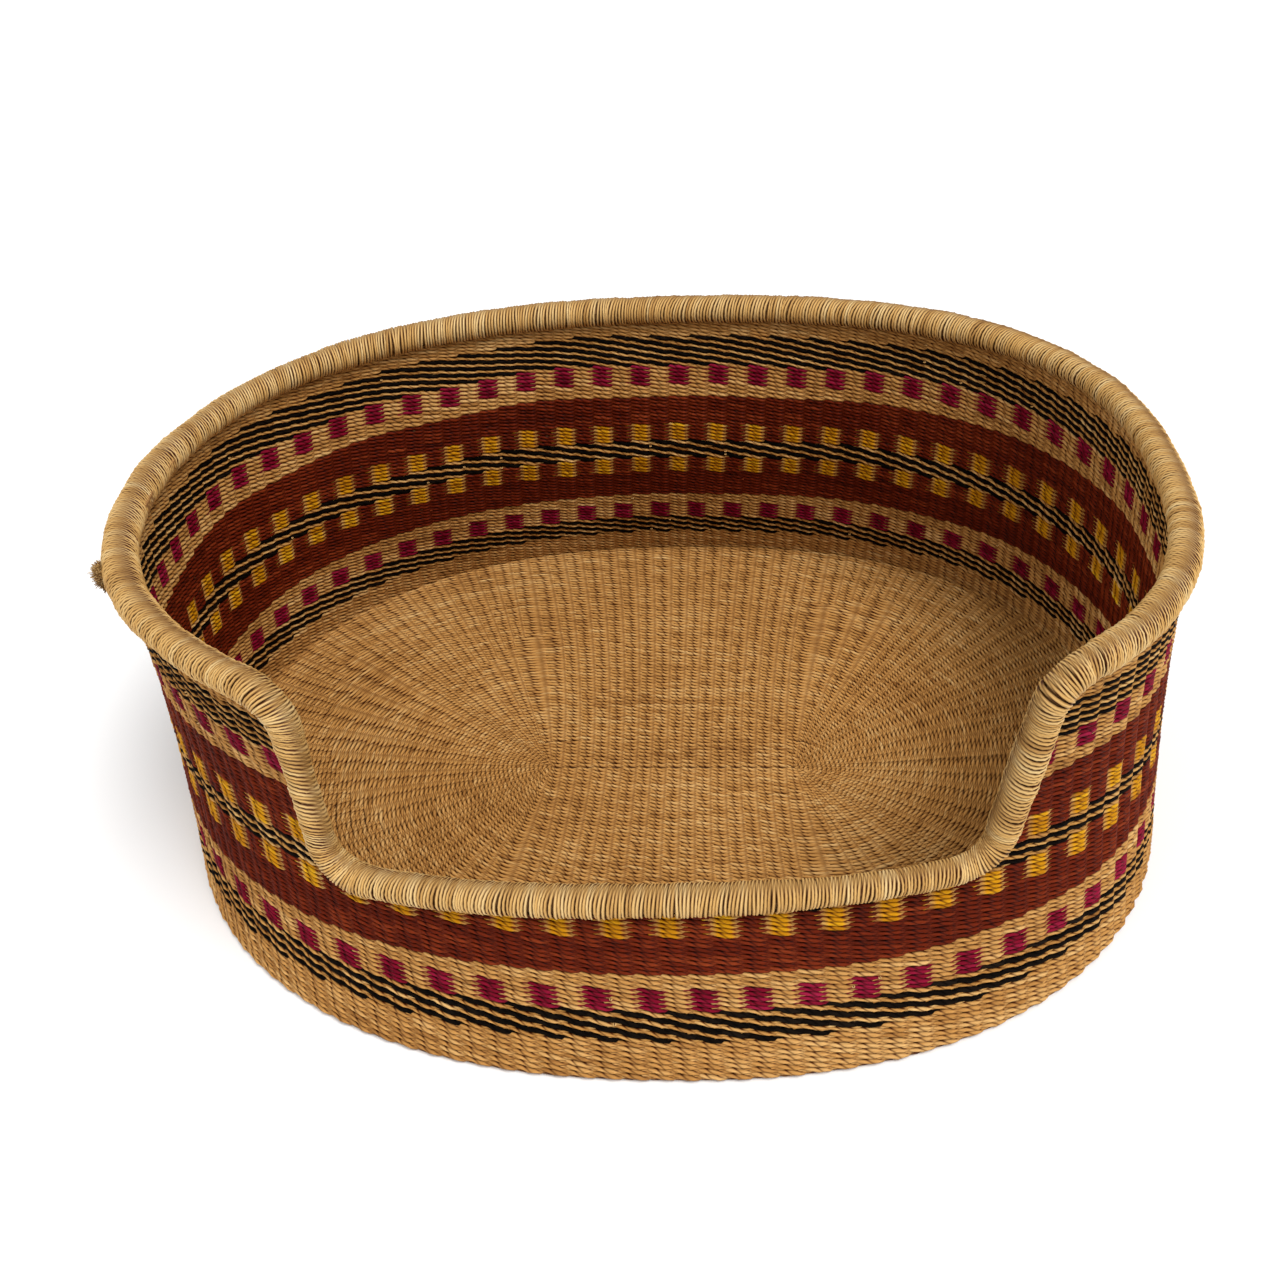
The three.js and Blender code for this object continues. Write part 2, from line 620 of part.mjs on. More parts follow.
// Sections of a tube round the rim's centre line, all turned alike towards the wall.
function rimSections(profile) {
  const path = rimPath();
  const centres = path.map(({ angle, height }) => wallPoint(angle, height, 0));
  return path.map(({ angle, height }, i) => {
    const next = centres[(i + 1) % path.length];
    const before = centres.at(i - 1);
    const along = next.clone().sub(before).normalize();
    const out = outwardAt(angle, height);
    out.addScaledVector(along, -out.dot(along)).normalize();
    const toWall = new THREE.Vector3().crossVectors(along, out);
    return profile.map(({ radius, turn }) => {
      const corner = centres[i].clone().addScaledVector(toWall, radius * Math.cos(turn));
      return corner.addScaledVector(out, radius * Math.sin(turn));
    });
  });
}

// The binding: a wound skin round the core, open along the wall.
const bindingProfile = [];
for (let i = 0; i <= BINDING_SIDES; i++) {
  const from = BINDING_SLOT_HALF_ANGLE;
  const turn = THREE.MathUtils.lerp(from, 2 * Math.PI - from, i / BINDING_SIDES);
  bindingProfile.push({ radius: RIM_RADIUS, turn });
}
for (let i = BINDING_SIDES; i >= 0; i--) {
  const { turn } = bindingProfile[i];
  bindingProfile.push({ radius: RIM_RADIUS - BINDING_THICKNESS, turn });
}
const binding = solid(loft(rimSections(bindingProfile), true));
addPiece("rim_binding", binding, PALE, BINDING_ROUGHNESS);

// The core: the bundle of grass and bent stake ends inside the binding.
const coreProfile = bindingProfile.slice(0, BINDING_SIDES + 1).map(({ turn }) => {
  return { radius: CORE_RADIUS, turn };
});
addPiece("rim_core", solid(loft(rimSections(coreProfile), true)), NATURAL, WOVEN_ROUGHNESS);

// The cut ends of the bundle, a flared tuft that points away from the rim.
const tuftOutline = [
  new THREE.Vector2(0, 0),
  new THREE.Vector2(TUFT_NECK_RADIUS, 0),
  new THREE.Vector2(TUFT_END_RADIUS, TUFT_FLARE_LENGTH),
  new THREE.Vector2(TUFT_TIP_RADIUS, TUFT_LENGTH),
  new THREE.Vector2(0, TUFT_LENGTH),
];
const tuft = new THREE.LatheGeometry(tuftOutline, TUFT_SIDES);
const tuftDirection = outwardAt(TUFT_TURN, RIM_HEIGHT).setZ(-Math.sin(TUFT_DROOP)).normalize();
const tuftSeat = wallPoint(TUFT_TURN, RIM_HEIGHT, 0);
const bindingSideHalf = (Math.PI - BINDING_SLOT_HALF_ANGLE) / BINDING_SIDES;
tuftSeat.addScaledVector(tuftDirection, RIM_RADIUS * Math.cos(bindingSideHalf) + CLEARANCE);
tuft.applyQuaternion(
  new THREE.Quaternion().setFromUnitVectors(new THREE.Vector3(0, 1, 0), tuftDirection),
);
tuft.translate(tuftSeat.x, tuftSeat.y, tuftSeat.z);
addPiece("binding_tuft", solid(tuft), PALE, WOVEN_ROUGHNESS);

export default basket;
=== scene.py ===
import math

import bpy
import numpy as np
from mathutils import Matrix, Vector


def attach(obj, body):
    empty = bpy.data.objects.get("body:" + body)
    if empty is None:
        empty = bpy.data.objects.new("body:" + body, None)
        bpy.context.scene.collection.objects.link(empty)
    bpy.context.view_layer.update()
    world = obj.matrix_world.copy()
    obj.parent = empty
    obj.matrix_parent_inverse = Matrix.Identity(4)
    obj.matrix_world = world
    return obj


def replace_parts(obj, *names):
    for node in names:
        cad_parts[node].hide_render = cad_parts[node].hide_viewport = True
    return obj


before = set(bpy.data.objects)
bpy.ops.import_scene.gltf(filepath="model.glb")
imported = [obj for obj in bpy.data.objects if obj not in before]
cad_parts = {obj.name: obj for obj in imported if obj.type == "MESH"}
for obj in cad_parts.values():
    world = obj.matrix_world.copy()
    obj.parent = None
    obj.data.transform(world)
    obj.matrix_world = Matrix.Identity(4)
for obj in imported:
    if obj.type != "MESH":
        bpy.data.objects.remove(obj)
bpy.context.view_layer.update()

# An oval dog basket, twined by hand from two strands of dyed grass over upright stakes.
# Metres, +Z up, the doorway towards -Y. Every row of strand is woven along the wall's own shape.

# The wall's middle surface at the floor, half way up and at the rim.
HALF_LENGTHS = (0.379, 0.367, 0.360)
HALF_WIDTHS = (0.303, 0.274, 0.283)
RIM_SHIFT_LEFT = 0.0065
FLOOR_LEFT_SQUARENESS = 2.25
FLOOR_RIGHT_SQUARENESS = 2.31
RIM_LEFT_SQUARENESS = 2.19
RIM_RIGHT_SQUARENESS = 2.45
RIM_HEIGHT = 0.283
FRONT_RISE = 0.013
FOOT_BOTTOM = 0.0028

# Where each colour band starts, up the wall.
LOWER_STRIPE_START = 0.03185
LOWER_CHECK_START = 0.05483
LOWER_RUST_START = 0.08547
MIDDLE_STRIPE_START = 0.13335
UPPER_RUST_START = 0.1525
UPPER_CHECK_START = 0.200375
UPPER_STRIPE_START = 0.231
TOP_PLAIN_START = 0.2589
TOP_PLAIN_END = 0.2749
YELLOW_SHARE = 5 / 13
LOWER_YELLOW_START = MIDDLE_STRIPE_START - YELLOW_SHARE * (MIDDLE_STRIPE_START - LOWER_RUST_START)
UPPER_YELLOW_END = UPPER_RUST_START + YELLOW_SHARE * (UPPER_CHECK_START - UPPER_RUST_START)
STRAIGHT_LEVELS = (0, LOWER_CHECK_START, MIDDLE_STRIPE_START, UPPER_CHECK_START, RIM_HEIGHT)

# Stakes and the strands that are twined over them.
STAKE_COUNT = 120
STAKE_OFFSET = 0.25
STAKE_LEAN = 3.2
CROSS_HALF = 8
CROSS_STAKE_PITCH = 0.0123
FAN_CENTRE = 0.1
START_ROW_RIGHT = 0.003
START_ROW_FORWARD = 0.011
FLOOR_LEVEL = 0.004
FLOOR_ROWS = 77
START_SEAM = 0.15
STRAND_SIDES = 6

# The places of a strand's steps, in stakes: closest where it dives between two stakes.
WALL_PLACES = np.array([0.0, 0.25, 0.44, 0.56, 0.75])
FLOOR_PLACES = np.array([0.2, 0.5, 0.8])

# How a strand lies: its bulge over a stake outside and inside, its half thickness, the spread of
# its tones, and its half height where it dives and on the stake and its slant, all three in rows.
WALL_LAY = {"bulge": 0.0012, "inner": 0.00095, "thick": 0.0021, "spread": 0.09,
            "dive": 0.38, "float": 0.55, "slant": 0.23}
FLOOR_LAY = {"bulge": 0.0009, "inner": 0.0009, "thick": 0.0023, "spread": 0.07,
             "dive": 0.34, "float": 0.53, "slant": 0.24}
STRIPE_LAY = dict(WALL_LAY, dive=0.37, slant=0.4, dyed_swell=0.2)

# The rim and its doorway, as seen from the front.
DOORWAY_LEFT = -0.209
DOORWAY_RIGHT_AT_SILL = 0.218
DOORWAY_RIGHT_AT_TOP = 0.239
SILL_HEIGHTS = (0.134, 0.151, 0.146)
DOORWAY_LOWER_RADIUS = 0.027
DOORWAY_UPPER_RADIUS = 0.026
WRAP_PITCH = 0.0025
SILL_WRAP_SHARE = 0.92
LEFT_POST_WRAP_SHARE = 1.42
RIGHT_POST_WRAP_SHARE = 1.15
CORNER_WRAP_SHARE = 0.74
WRAP_STEPS = 12.4
WRAP_RADIUS = 0.0096
WRAP_HALF_THICKNESS = 0.00145
WRAP_FULLNESS = 1.1
WRAP_LEAN = 0.0028


def through_three(values, rise):
    """A value that runs through three given ones at the floor, half way up and at the rim."""
    low, middle, high = values
    from_low = 2 * (rise - 0.5) * (rise - 1) * low
    from_middle = 4 * rise * (1 - rise) * middle
    from_high = 2 * rise * (rise - 0.5) * high
    return from_low + from_middle + from_high


def signed_power(value, power):
    """A power that keeps the sign."""
    return np.sign(value) * np.abs(value) ** power


LEVELS = np.array(STRAIGHT_LEVELS, float)
LEVEL_RISE = LEVELS / RIM_HEIGHT
LENGTH_AT_LEVEL = through_three(HALF_LENGTHS, LEVEL_RISE)
WIDTH_AT_LEVEL = through_three(HALF_WIDTHS, LEVEL_RISE)


def oval_at(angle, height):
    """Half length, half width, squareness and shift of the oval at a height."""
    rise = np.clip(height / RIM_HEIGHT, 0, 1)
    left = np.cos(angle) < 0
    floor_squareness = np.where(left, FLOOR_LEFT_SQUARENESS, FLOOR_RIGHT_SQUARENESS)
    rim_squareness = np.where(left, RIM_LEFT_SQUARENESS, RIM_RIGHT_SQUARENESS)
    squareness = floor_squareness + (rim_squareness - floor_squareness) * rise
    half_length = np.interp(height, LEVELS, LENGTH_AT_LEVEL)
    half_width = np.interp(height, LEVELS, WIDTH_AT_LEVEL)
    return half_length, half_width, squareness, -RIM_SHIFT_LEFT * rise


def outward_at(angle, height):
    """The level direction out of the wall."""
    half_length, half_width, squareness, _ = oval_at(angle, height)
    power = 2 - 2 / squareness
    x = signed_power(np.cos(angle), power) / half_length
    y = signed_power(np.sin(angle), power) / half_width
    length = np.hypot(x, y)
    return np.stack([x / length, y / length, np.zeros_like(x)], axis=-1)


def wall_point(angle, height, out=0.0):
    """A point on the wall's middle surface, or a distance out of it."""
    half_length, half_width, squareness, shift = oval_at(angle, height)
    power = 2 / squareness
    x = half_length * signed_power(np.cos(angle), power) + shift
    depth = signed_power(np.sin(angle), power)
    lift = 1 - (FRONT_RISE / RIM_HEIGHT) * depth
    z = FOOT_BOTTOM + (height - FOOT_BOTTOM) * lift
    point = np.stack([x, half_width * depth, z + np.zeros_like(x)], axis=-1)
    return point + outward_at(angle, height) * np.asarray(out)[..., None]


# Angles round the oval against the share of its girth, walked half way up the wall.
PLAN_STEPS = 24000
PLAN_ANGLES = np.linspace(0, 2 * math.pi, PLAN_STEPS + 1)
PLAN_POINTS = wall_point(PLAN_ANGLES, RIM_HEIGHT / 2)[:, :2]
PLAN_STRETCHES = np.linalg.norm(np.diff(PLAN_POINTS, axis=0), axis=1)
PLAN_WALKED = np.concatenate([[0], np.cumsum(PLAN_STRETCHES)])
PLAN_WALKED /= PLAN_WALKED[-1]


def angle_of(place):
    """The angle of a place that is counted in stakes from the right end, over the back."""
    turns = np.floor(place / STAKE_COUNT)
    share = place / STAKE_COUNT - turns
    return np.interp(share, PLAN_WALKED, PLAN_ANGLES) + 2 * math.pi * turns


def leaning(stake, height):
    """The place of a stake at a height: stakes lean a little along the wall."""
    return stake + STAKE_OFFSET - STAKE_LEAN * height


# The doorway's outline in the front view. Points on it are put on the wall in a few rounds.
FRONT_ROUNDS = 8
CORNER_STEPS = 16
SILL_STEPS = 64


def sill_height(x):
    """The height of the sill's centre line."""
    share = (x - DOORWAY_LEFT) / (DOORWAY_RIGHT_AT_SILL - DOORWAY_LEFT)
    return through_three(SILL_HEIGHTS, share)


def doorway_right(z):
    """The right side of the doorway, which leans outwards as it rises."""
    share = (z - SILL_HEIGHTS[2]) / (RIM_HEIGHT - SILL_HEIGHTS[2])
    return DOORWAY_RIGHT_AT_SILL + (DOORWAY_RIGHT_AT_TOP - DOORWAY_RIGHT_AT_SILL) * share


def front_place(x, z):
    """The wall's angle and nominal height behind points of the front view."""
    height = np.array(z, float)
    angle = np.full_like(height, -math.pi / 2)
    for _ in range(FRONT_ROUNDS):
        half_length, _, squareness, shift = oval_at(angle, height)
        across = np.clip((x - shift) / half_length, -1, 1)
        angle = -np.arccos(signed_power(across, squareness / 2))
        depth = -np.abs(np.sin(angle)) ** (2 / squareness)
        height = FOOT_BOTTOM + (z - FOOT_BOTTOM) / (1 - (FRONT_RISE / RIM_HEIGHT) * depth)
    return angle, height


def corner_arc(x, z, radius, start, end):
    """Points of an arc of the doorway's outline."""
    turn = np.radians(np.linspace(start, end, CORNER_STEPS))
    return np.stack([x + radius * np.cos(turn), z + radius * np.sin(turn)], axis=-1)


def doorway_outline(away):
    """The doorway down the left side, along the sill and up the right, a distance away."""
    lower, upper, left = DOORWAY_LOWER_RADIUS, DOORWAY_UPPER_RADIUS, DOORWAY_LEFT

    def rim_above(x):
        angle, _ = front_place(np.array([x]), np.array([RIM_HEIGHT]))
        return float(wall_point(angle, RIM_HEIGHT)[0, 2])

    left_top = rim_above(left - upper) - upper
    right_top = rim_above(DOORWAY_RIGHT_AT_TOP + upper) - upper
    left_sill = sill_height(left + lower) + lower
    low_right = doorway_right(SILL_HEIGHTS[2] + lower)
    right_sill = sill_height(low_right - lower) + lower
    top_right = doorway_right(right_top)
    sill_x = np.linspace(left + lower, low_right - lower, SILL_STEPS)[1:-1]
    sill = np.stack([sill_x, sill_height(sill_x) - away], axis=-1)
    return np.concatenate([
        corner_arc(left - upper, left_top, upper - away, 90, 0),
        corner_arc(left + lower, left_sill, lower + away, 180, 270),
        sill,
        corner_arc(low_right - lower, right_sill, lower + away, 270, 360),
        corner_arc(top_right + upper, right_top, upper - away, 180, 90),
    ])


# The wall's strands end this far outside the doorway, under the binding.
STRAND_STOP = 0.003


def inside_doorway(points, outline):
    """Whether points of the front wall lie in the doorway."""
    x, z = points[:, 0], points[:, 2]
    above = 2 * RIM_HEIGHT
    closed = np.concatenate([[[outline[0, 0], above]], outline, [[outline[-1, 0], above]]])
    inside = np.zeros(len(x), bool)
    for (x0, z0), (x1, z1) in zip(closed, np.roll(closed, -1, axis=0)):
        if z0 == z1:
            continue
        crosses = (z0 > z) != (z1 > z)
        inside ^= crosses & (x < x0 + (z - z0) / (z1 - z0) * (x1 - x0))
    return inside & (points[:, 1] < 0)


DOORWAY_STOP = doorway_outline(STRAND_STOP)


# Strands and the pieces that are woven from them. A strand's two plies swell its section and make
# one turn from stake to stake. Where it passes over a stake it makes a float, which is full nearly
# to its ends and leans along the row. The spreads say how unlike the floats of a row are.
PLY_SWELL = 0.16
PLY_START = 0.25
PLY_SPREAD = 0.06
FLOAT_SKEW = 0.12
FLOAT_FULLNESS = 0.7
PLUMP_SPREAD = 0.07
LIFT_SPREAD = 0.10
SAG_SPREAD = 0.04
NEARLY_HALF = 0.499
SHORTEST_RUN = 4

# Each strand reads its fibres from another stretch of the pattern.
FIBRE_JUMP = 7
FIBRE_JUMPS = 40


def unit(vectors):
    """Vectors at length one."""
    return vectors / np.linalg.norm(vectors, axis=-1, keepdims=True)


class Weaving:
    """A piece that is made of many strands, tubes of two twisted plies with closed ends.

    A strand's plies may swell its section."""

    def __init__(self, name, swell):
        self.name = name
        self.swell = swell
        self.points, self.faces, self.fibres = [], [], []
        self.tones, self.dyes, self.shades = [], [], []
        self.count = 0

    def strand(self, centre, out, up, half_out, half_up, sunk, tone, twist, dye):
        """A strand along its centre line.

        Given at each step are its section's half widths, the shade painted where it lies deep,
        its tone and its twist in turns."""
        steps, sides = len(centre), STRAND_SIDES
        turn = 2 * math.pi * np.arange(sides) / sides
        swell = 1 + self.swell * np.cos(2 * (turn[None, :] + 2 * math.pi * twist[:, None]))
        across = np.cos(turn)[None, :] * half_out[:, None] * swell
        height = np.sin(turn)[None, :] * half_up[:, None] * swell
        ring = across[:, :, None] * out[:, None, :] + height[:, :, None] * up[:, None, :]
        self.points.append((centre[:, None, :] + ring).reshape(-1, 3))
        here = np.arange(steps - 1)
        after = here + 1
        side = np.arange(sides)
        other = (side - 1) % sides
        corners = [
            after[:, None] * sides + side[None, :],
            here[:, None] * sides + side[None, :],
            here[:, None] * sides + other[None, :],
            after[:, None] * sides + other[None, :],
        ]
        faces = np.stack([corner.reshape(-1) for corner in corners], axis=-1)
        last = (steps - 1) * sides
        ends = [[0, 1, 2, 3], [0, 3, 4, 5]]
        ends += [[last + 3, last + 2, last + 1, last], [last + 5, last + 4, last + 3, last]]
        self.faces.append(np.concatenate([faces, np.array(ends)]) + self.count)
        self.tones.append(np.repeat(tone, sides))
        self.dyes.append(np.repeat(dye * np.ones(steps), sides))
        self.shades.append(np.repeat(sunk, sides))
        around = np.tile(turn, steps)
        twisted = np.repeat(twist, sides) + FIBRE_JUMP * (len(self.faces) % FIBRE_JUMPS)
        self.fibres.append(np.stack([twisted, np.cos(around), np.sin(around)], axis=-1))
        self.count += steps * sides

    def finished(self, material):
        """The piece as a mesh object with its finish."""
        points = np.concatenate(self.points)
        faces = np.concatenate(self.faces)
        mesh = bpy.data.meshes.new(self.name)
        mesh.vertices.add(len(points))
        mesh.vertices.foreach_set("co", points.astype(np.float32).ravel())
        mesh.loops.add(faces.size)
        mesh.loops.foreach_set("vertex_index", faces.astype(np.int32).ravel())
        mesh.polygons.add(len(faces))
        mesh.polygons.foreach_set("loop_start", np.arange(0, faces.size, 4, dtype=np.int32))
        mesh.polygons.foreach_set("use_smooth", np.ones(len(faces), bool))
        mesh.update(calc_edges=True)
        for label, values in (("tone", self.tones), ("dye", self.dyes), ("sunk", self.shades)):
            layer = mesh.attributes.new(label, "FLOAT", "POINT")
            layer.data.foreach_set("value", np.concatenate(values).astype(np.float32))
        layer = mesh.attributes.new("fibre", "FLOAT_VECTOR", "POINT")
        layer.data.foreach_set("vector", np.concatenate(self.fibres).astype(np.float32).ravel())
        mesh.materials.append(material)
        piece = bpy.data.objects.new(self.name, mesh)
        bpy.context.scene.collection.objects.link(piece)
        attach(piece, "root")
        return piece


def runs_of(kept):
    """Index lists of the unbroken runs of a closed row: a whole row ends where it starts."""
    if kept.all():
        return [np.arange(len(kept) + 1) % len(kept)]
    first = int(np.argmin(kept))
    order = np.roll(np.arange(len(kept)), -first)
    runs, run = [], []
    for index in order:
        if kept[index]:
            run.append(index)
        elif run:
            runs.append(run)
            run = []
    if run:
        runs.append(run)
    return [np.array(run) for run in runs if len(run) >= SHORTEST_RUN]


# Dyes of a strand: none, all through, or all through with pale tips on its floats.
UNDYED, DYED, PALE_TIPPED = 0, 1, 2
PALE_TIP_FADE = 0.3
PALE_TIP_DELAY = 1.4

# A blade of grass runs on over this many floats, at least and below, before the tone changes.
BLADE_FLOATS = (3, 14)
MIDDLE_TONE = 0.5
TONE_JITTER = 0.07


def grass_tones(rng, count, spread):
    """A tone for each float: grass blades run on over a few floats and then change."""
    blades = np.empty(count)
    index = 0
    while index < count:
        length = rng.integers(*BLADE_FLOATS)
        blades[index:index + length] = rng.normal(MIDDLE_TONE, spread)
        index += length
    return np.clip(blades + rng.normal(0, TONE_JITTER, count), 0, 1)


def twine(weaving, rng, stake, centre, up, out, pitch, lay, dyes=(UNDYED, UNDYED), shift=0,
          kept=None):
    """Two strands twined along a row: one over each stake while the other goes behind.

    A dyed strand of a striped row is the plumper one of the two. A dyed strand may be pale at
    the tips of its floats."""
    floats = int(round(stake.max() - stake.min()))
    cross = np.sin(math.pi * stake)
    level = np.cos(math.pi * stake)
    over = np.abs(level)
    index = np.floor(stake + NEARLY_HALF).astype(int) % floats
    runs = runs_of(np.ones(len(stake), bool) if kept is None else kept)
    for strand in (0, 1):
        sign = 1 - 2 * ((strand + shift) % 2)
        dye = dyes[strand]
        wave = sign * np.cos(math.pi * (stake - sign * FLOAT_SKEW * level))
        plump = 1 + over * rng.normal(0, PLUMP_SPREAD, floats)[index]
        lift = 1 + over * rng.normal(0, LIFT_SPREAD, floats)[index]
        sag = over * rng.normal(0, SAG_SPREAD, floats)[index] * pitch
        bulge = np.where(wave > 0, lay["bulge"], lay["inner"])
        radial = bulge * signed_power(wave, FLOAT_FULLNESS) * lift
        drop = sign * lay["slant"] * pitch * cross
        path = centre + radial[:, None] * out + (sag - drop)[:, None] * up
        half_up = pitch * (lay["dive"] + (lay["float"] - lay["dive"]) * over) * plump
        half_up *= 1 + lay.get("dyed_swell", 0) * (2 * min(dye, DYED) - 1)
        half_out = lay["thick"] * plump
        # Painted shade where the strand dives between two stakes, full at the crossing.
        sunk = (1 - over) ** 3
        tone = grass_tones(rng, floats, lay["spread"])[index]
        twirl = over * rng.normal(0, PLY_SPREAD, floats)[index]
        pale = np.clip(over / PALE_TIP_FADE - PALE_TIP_DELAY, 0, 1)
        colour = dye - (dye == PALE_TIPPED) * pale
        values = (path, out, up, half_out, half_up, sunk, tone)
        for run in runs:
            walked = stake[run]
            walked[1:] += floats * np.cumsum(np.diff(walked) < 0)
            twist = walked - PLY_START + twirl[run]
            weaving.strand(*(value[run] for value in values), twist, colour[run])


def float_steps(count, places):
    """Places along a row, a few for each stake."""
    return (np.arange(count)[:, None] + places).ravel()


# Slow waves in the rows, as hands leave them, shared by neighbouring rows: how many go round the
# basket, how fast each moves along from row to row, and where it starts.
WAVE_RNG = np.random.default_rng(11)
WAVES = [(WAVE_RNG.integers(2, 15), WAVE_RNG.uniform(0, 40), WAVE_RNG.uniform(0, 2 * math.pi))
         for _ in range(9)]
WAVE_HEIGHT = 0.00035


def row_wave(place, height):
    """How far a row strays from its level."""
    total = np.zeros_like(place)
    for count, climb, start in WAVES:
        total += np.sin(2 * math.pi * count * place / STAKE_COUNT + climb * height + start)
    return WAVE_HEIGHT * total


# Cut ends of spliced strands, small pale dots here and there between the stakes.
CUT_ENDS = 14
CUT_END_RADIUS = 0.0009
CUT_END_STEPS = np.array([0.0, 0.001, 0.0027, 0.0031])
CUT_END_TAPER = np.array([1, 1, 1, 0.6])
CUT_END_TONE = 0.95

# A short way up the wall, to find its slope.
STEP_UP = 0.002


def wall_band(name, node, start, end, rows, material, seed, lay=WALL_LAY):
    """A band of the wall: rows of (dye of one strand, dye of the other, stake shift)."""
    weaving = Weaving(name, PLY_SWELL)
    rng = np.random.default_rng(seed)
    pitch = (end - start) / len(rows)
    stake = float_steps(STAKE_COUNT, WALL_PLACES)
    for number, (dye, other_dye, shift) in enumerate(rows):
        level = start + (number + 0.5) * pitch
        place = leaning(stake, level)
        fade = np.clip(level / LOWER_CHECK_START, 0, 1)
        height = level + fade * row_wave(place, level)
        angle = angle_of(place)
        centre = wall_point(angle, height)
        above = wall_point(angle_of(leaning(stake, level + STEP_UP)), height + STEP_UP)
        below = wall_point(angle_of(leaning(stake, level - STEP_UP)), height - STEP_UP)
        up = unit(above - below)
        out = outward_at(angle, height)
        out = unit(out - np.sum(out * up, axis=-1, keepdims=True) * up)
        kept = ~inside_doorway(centre, DOORWAY_STOP)
        twine(weaving, rng, stake, centre, up, out, pitch, lay, (dye, other_dye), shift, kept)
    for _ in range(CUT_ENDS):
        level = start + rng.uniform(0.1, 0.9) * (end - start)
        place = leaning(np.array([rng.integers(STAKE_COUNT) + 0.5]), level)
        angle = angle_of(place)
        seat = wall_point(angle, level)
        if inside_doorway(seat, DOORWAY_STOP)[0]:
            continue
        out = outward_at(angle, level) * rng.choice([-1, 1])
        path = seat + CUT_END_STEPS[:, None] * out
        side = np.cross(out, [0, 0, 1])
        thick = CUT_END_RADIUS * CUT_END_TAPER
        same = np.ones((len(path), 1))
        none = np.zeros(len(path))
        weaving.strand(path, same * side, same * np.cross(side, out), thick, thick,
                       none, none + CUT_END_TONE, none, UNDYED)
    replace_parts(weaving.finished(material), node)


def stakes_from_middle(stake):
    """How many stakes a stake is to the right of the middle of the back or the front."""
    if stake < STAKE_COUNT / 2:
        return STAKE_COUNT // 4 - stake
    return stake - (3 * STAKE_COUNT) // 4


# The floor rows that first take in every fourth, every second and the last stakes of a fan.
FOURTH_STAKE_ROW = 3
SECOND_STAKE_ROW = 8
LAST_STAKE_ROW = 28
LAST_STAKE_ROWS = 37


def first_row(stake):
    """The floor row that first takes in a stake: near the fan centres some are left out."""
    steps = stakes_from_middle(stake)
    if abs(steps) <= CROSS_HALF:
        return 0
    middle = stake if steps > 0 else stake - STAKE_COUNT // 2
    middle = (middle + STAKE_COUNT // 2) % STAKE_COUNT - STAKE_COUNT // 2
    place = middle + STAKE_COUNT // 4 - CROSS_HALF
    if place % 11 == 0:
        return 0
    if place % 4 == 0:
        return FOURTH_STAKE_ROW
    if place % 2 == 0:
        return SECOND_STAKE_ROW
    return LAST_STAKE_ROW + (17 * place) % LAST_STAKE_ROWS


FIRST_ROWS = np.array([first_row(stake) for stake in range(STAKE_COUNT)])


def stake_start(stake):
    """Where a stake starts on the floor, on the start row or at its fan's centre."""
    steps = stakes_from_middle(stake)
    if abs(steps) <= CROSS_HALF:
        across = steps * CROSS_STAKE_PITCH
    else:
        across = math.copysign(FAN_CENTRE, steps)
    return np.array([START_ROW_RIGHT + across, -START_ROW_FORWARD, FLOOR_LEVEL])


STAKE_STEPS = np.array([stakes_from_middle(stake) for stake in range(STAKE_COUNT)])
STAKE_STARTS = np.array([stake_start(stake) for stake in range(STAKE_COUNT)])
STAKE_ENDS = wall_point(angle_of(leaning(np.arange(STAKE_COUNT), 0.0)), np.zeros(STAKE_COUNT))
STAKE_ENDS[:, 2] = FLOOR_LEVEL


def round_spline(knots, places):
    """Points of a smooth closed curve through knots, at places counted in knots."""
    count = len(knots)
    index = np.floor(places).astype(int)
    share = (places - index)[:, None]
    before, here, after, later = (knots[(index + step) % count] for step in (-1, 0, 1, 2))
    return 0.5 * (2 * here + (after - before) * share
                  + (2 * before - 5 * here + 4 * after - later) * share ** 2
                  + (3 * here - before - 3 * after + later) * share ** 3)


# How late the middle stakes spread, how far ahead a row's direction is taken, and how much of the
# wall's waves the floor has, which come in over its first rows and go over its last.
CROSS_BOW = 1.7
FLOOR_AHEAD = 0.01
FLOOR_WAVE = 0.8
FLOOR_WAVE_CLIMB = -0.3
WAVE_FIRST_ROWS = 10
WAVE_LAST_ROWS = 6


def floor_knots(stakes, share):
    """Where a row crosses the stakes: in the middle these run nearly parallel at first."""
    reach = STAKE_ENDS[stakes] - STAKE_STARTS[stakes]
    in_cross = np.abs(STAKE_STEPS[stakes]) <= CROSS_HALF
    sideways = np.where(in_cross, share ** CROSS_BOW, share)
    forward = np.full_like(sideways, share)
    return STAKE_STARTS[stakes] + reach * np.stack([sideways, forward, 0 * sideways], axis=-1)


def floor_row(weaving, rng, row):
    """One row of the floor, a loop round the start row and both fan centres."""
    share = (row + 0.5 + START_SEAM) / (FLOOR_ROWS + START_SEAM)
    stakes = np.flatnonzero(FIRST_ROWS <= row)
    reach = STAKE_ENDS[stakes] - STAKE_STARTS[stakes]
    stake = float_steps(len(stakes), FLOOR_PLACES)
    centre = round_spline(floor_knots(stakes, share), stake)
    up = unit(round_spline(floor_knots(stakes, share + FLOOR_AHEAD), stake) - centre)
    wave = row_wave(stake * STAKE_COUNT / len(stakes), FLOOR_WAVE_CLIMB * share)
    fade = min(1.0, row / WAVE_FIRST_ROWS) * min(1.0, (FLOOR_ROWS - 1 - row) / WAVE_LAST_ROWS)
    centre = centre + (FLOOR_WAVE * fade * wave)[:, None] * up
    out = np.tile([0.0, 0.0, -1.0], (len(centre), 1))
    pitch = np.linalg.norm(reach, axis=1).mean() / FLOOR_ROWS
    twine(weaving, rng, stake, centre, up, out, pitch, FLOOR_LAY)


# Finishes.

